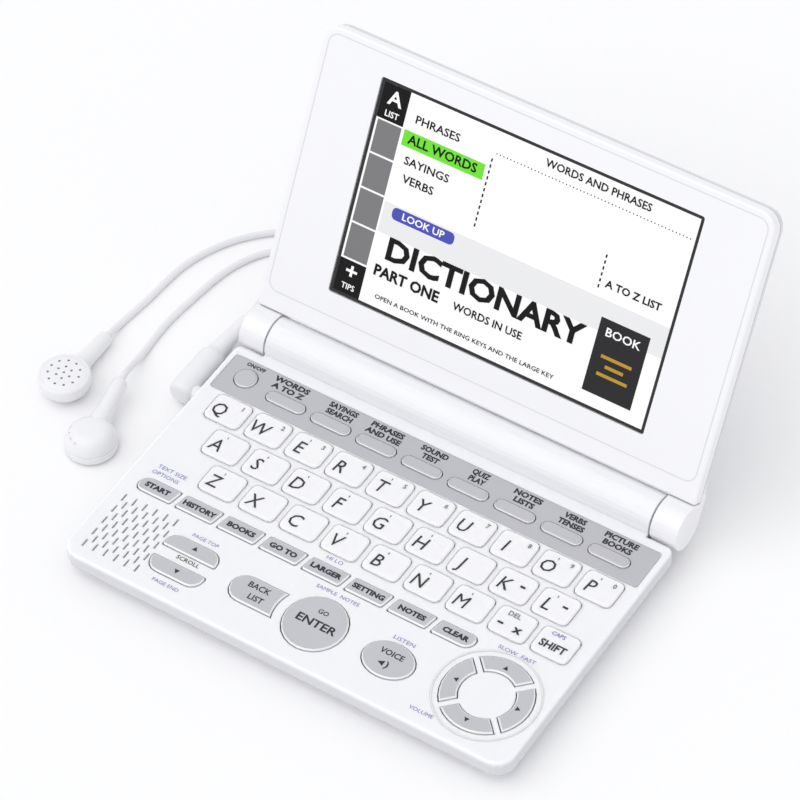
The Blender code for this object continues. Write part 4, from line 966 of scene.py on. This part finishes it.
def makeFrontLegends():
    top = legends["keyTop"]
    for key, (x, y, radius, turn) in legends["arrows"].items():
        printed([arrow(x, y, top, radius, turn)], key + "_arrow", inkBlack, key + "_key_cap")
    for key in ("back", "enter"):
        printed(wordsAt(legends[key], top), key + "_words", inkBlack, key + "_key_cap")
    x, y, radius, turn, wide = legends["voiceCone"]
    cone = arrow(x, y, top, radius, turn, wide)
    printed(wordsAt(legends["voice"], top) + [cone], "voice_mark", inkBlack, "voice_key_cap")


def makeDeckLegends():
    printed(wordsAt(legends["deck"], legends["deckTop"]), "deck_small_words", inkMauve, "base")
    printed(wordsAt(legends["scroll"], legends["deckTop"]), "deck_scroll_word", inkBlack, "base")


def makeRingRim():
    # the shallow rounded lip around the cursor keys
    deselectAll()
    bpy.ops.mesh.primitive_torus_add(major_segments=96, minor_segments=8, major_radius=rim["radius"] * mm,
                                     minor_radius=rim["thickness"] * mm, location=Vector(rim["place"]) * mm)
    settle(bpy.context.object, "cursor_rim", shellWhite, "base", smooth=60)


def makeKeyLips():
    # the thin white lip that narrows the gap round each letter key
    outers, inners = [], []
    halfX, halfY = lips["half"]
    for row, count in enumerate(lips["counts"]):
        for i in range(count):
            x, y = keyPlace(row, i)
            for grow, top, deep, items in ((lips["opening"], lips["top"], lips["deep"], outers),
                                           (lips["clear"], cutTop, cutDepth, inners)):
                acrossX, acrossY = halfX + grow, halfY + grow
                items.append(plate(x - acrossX, x + acrossX, y - acrossY, y + acrossY, top,
                                   lips["corner"] + grow, deep, 8))
    settle(cutWith(joined(outers), inners), "letter_key_lips", shellWhite, "base")


def makeLidSeam():
    # the fine line where the screen side meets the rounded rim of the lid
    low, high, half, thin = seam["low"], seam["high"], seam["half"], seam["width"]
    item = plate(-half, half, low, high, seam["face"], seam["corner"], seam["deep"], 8)
    inner = plate(-half + thin, half - thin, low + thin, high - thin, seam["face"] + 1, seam["corner"] - thin,
                  cutDepth, 8)
    settle(cutWith(item, [inner]), "lid_seam", seamGrey, "lid", lidMatrix)


makeLidSeam()
makeLetterLegends()
makeEditLegends()
makeModeLegends()
makeFunctionLegends()
makeFrontLegends()
makeDeckLegends()
makeRingRim()
makeKeyLips()
print("legends made")


# the page on the display

page = {
    "face": -0.48, "layer": 0.02,
    "areas": (  # finish, layer, and edges and corner of each area
        (pageWhite, 0, ((-51.85, 52.25, 21.75, 87.25, 0),)),
        (pageMist, 1, ((-42.6, 52.25, 44.0, 53.5, 0),)),
        (pageBlack, 1, ((-51.85, -43.0, 76.4, 87.25, 0), (-51.85, -43.0, 21.75, 32.0, 0))),
        (pageGrey, 1, ((-51.2, -43.2, 65.8, 75.9, 0), (-51.2, -43.2, 54.8, 65.2, 0),
                       (-51.2, -43.2, 43.8, 54.2, 0), (-51.2, -43.2, 32.6, 43.2, 0))),
        (pageGreen, 2, ((-42.2, -15.0, 71.4, 76.2, 0),)),
        (pageDark, 2, ((31.5, 47.5, 25.6, 48.4, 0),)),
        (pageAmber, 3, ((34.5, 44.5, 31.5, 32.5, 0), (36.5, 42.5, 34.2, 35.2, 0),
                        (34.5, 44.5, 36.9, 37.9, 0))),
        (pageBlue, 2, ((-39.5, -18.5, 49.2, 53.0, 1.4),)),
    ),
    "words": (  # finish, layer and the words, as on the keys
        (pageBlack, 4, (("WORDS AND PHRASES", 20.0, 84.2, 2.3, 1.0, 0.06),
                        ("PHRASES", -32.2, 80.2, 2.4, 1.1, 0.05), ("ALL WORDS", -28.8, 73.8, 2.7, 1.05, 0.09),
                        ("SAYINGS", -32.4, 67.4, 2.4, 1.1, 0.05), ("VERBS", -33.8, 62.0, 2.4, 1.1, 0.05),
                        ("A TO Z LIST", 39.0, 58.0, 2.2, 1.05, 0.08),
                        ("DICTIONARY", -5.6, 40.0, 6.5, 1.16, 0.32),
                        ("PART ONE", -29.6, 32.6, 3.2, 1.0, 0.16),
                        ("WORDS IN USE", -2.0, 32.4, 2.3, 1.0, 0.06),
                        ("OPEN A BOOK WITH THE RING KEYS AND THE LARGE KEY", -8.0, 25.0, 1.3, 1.2, 0.02))),
        (pageWhite, 4, (("LOOK UP", -29.0, 51.1, 2.1, 1.1, 0.05), ("A", -47.3, 83.2, 4.2, 1.1, 0.12),
                        ("LIST", -47.3, 78.4, 1.8, 1.0, 0.05), ("+", -47.3, 28.6, 4.6, 1.1, 0.12),
                        ("TIPS", -47.3, 24.0, 1.7, 1.0, 0.04), ("BOOK", 39.5, 44.6, 2.5, 1.1, 0.05))),
    ),
    "dot": 0.26, "dotRow": (-12.5, 51.0, 1.15), "dotRowV": 80.6,  # from, to and step
    "dashColumns": ((-13.5, 58.0, 80.0), (28.0, 56.5, 66.0)), "dashStep": 1.84,
}


def makePage():
    face, layer = page["face"], page["layer"]
    pieces = []
    for finish, level, areas in page["areas"]:
        items = [plate(*edges, face + level * layer, corner) for *edges, corner in areas]
        pieces.append(("area", finish, items))
    for finish, level, lines in page["words"]:
        pieces.append(("words", finish, wordsAt(lines, face + level * layer)))
    for number, (kind, finish, items) in enumerate(pieces, 1):
        printed(items, f"page_{kind}_{number}", finish, "lid", lidMatrix)

    size, top = page["dot"], face + layer
    dots = [arrow(x, page["dotRowV"], top, size, 45, corners=4) for x in np.arange(*page["dotRow"])]
    for x, low, high in page["dashColumns"]:
        dots += [plate(x - size, x + size, v - size * 2, v + size * 2, top)
                 for v in np.arange(low, high, page["dashStep"])]
    printed(dots, "page_dots", pageBlack, "lid", lidMatrix)


makePage()
print("display page made")


# each cord's start, length and kind, worked out and not kept, at the end

for side, (item, route) in madeCords.items():
    at(*route[0])
    lengthOf(route)
    "coiled" if side == "main" else "loose"
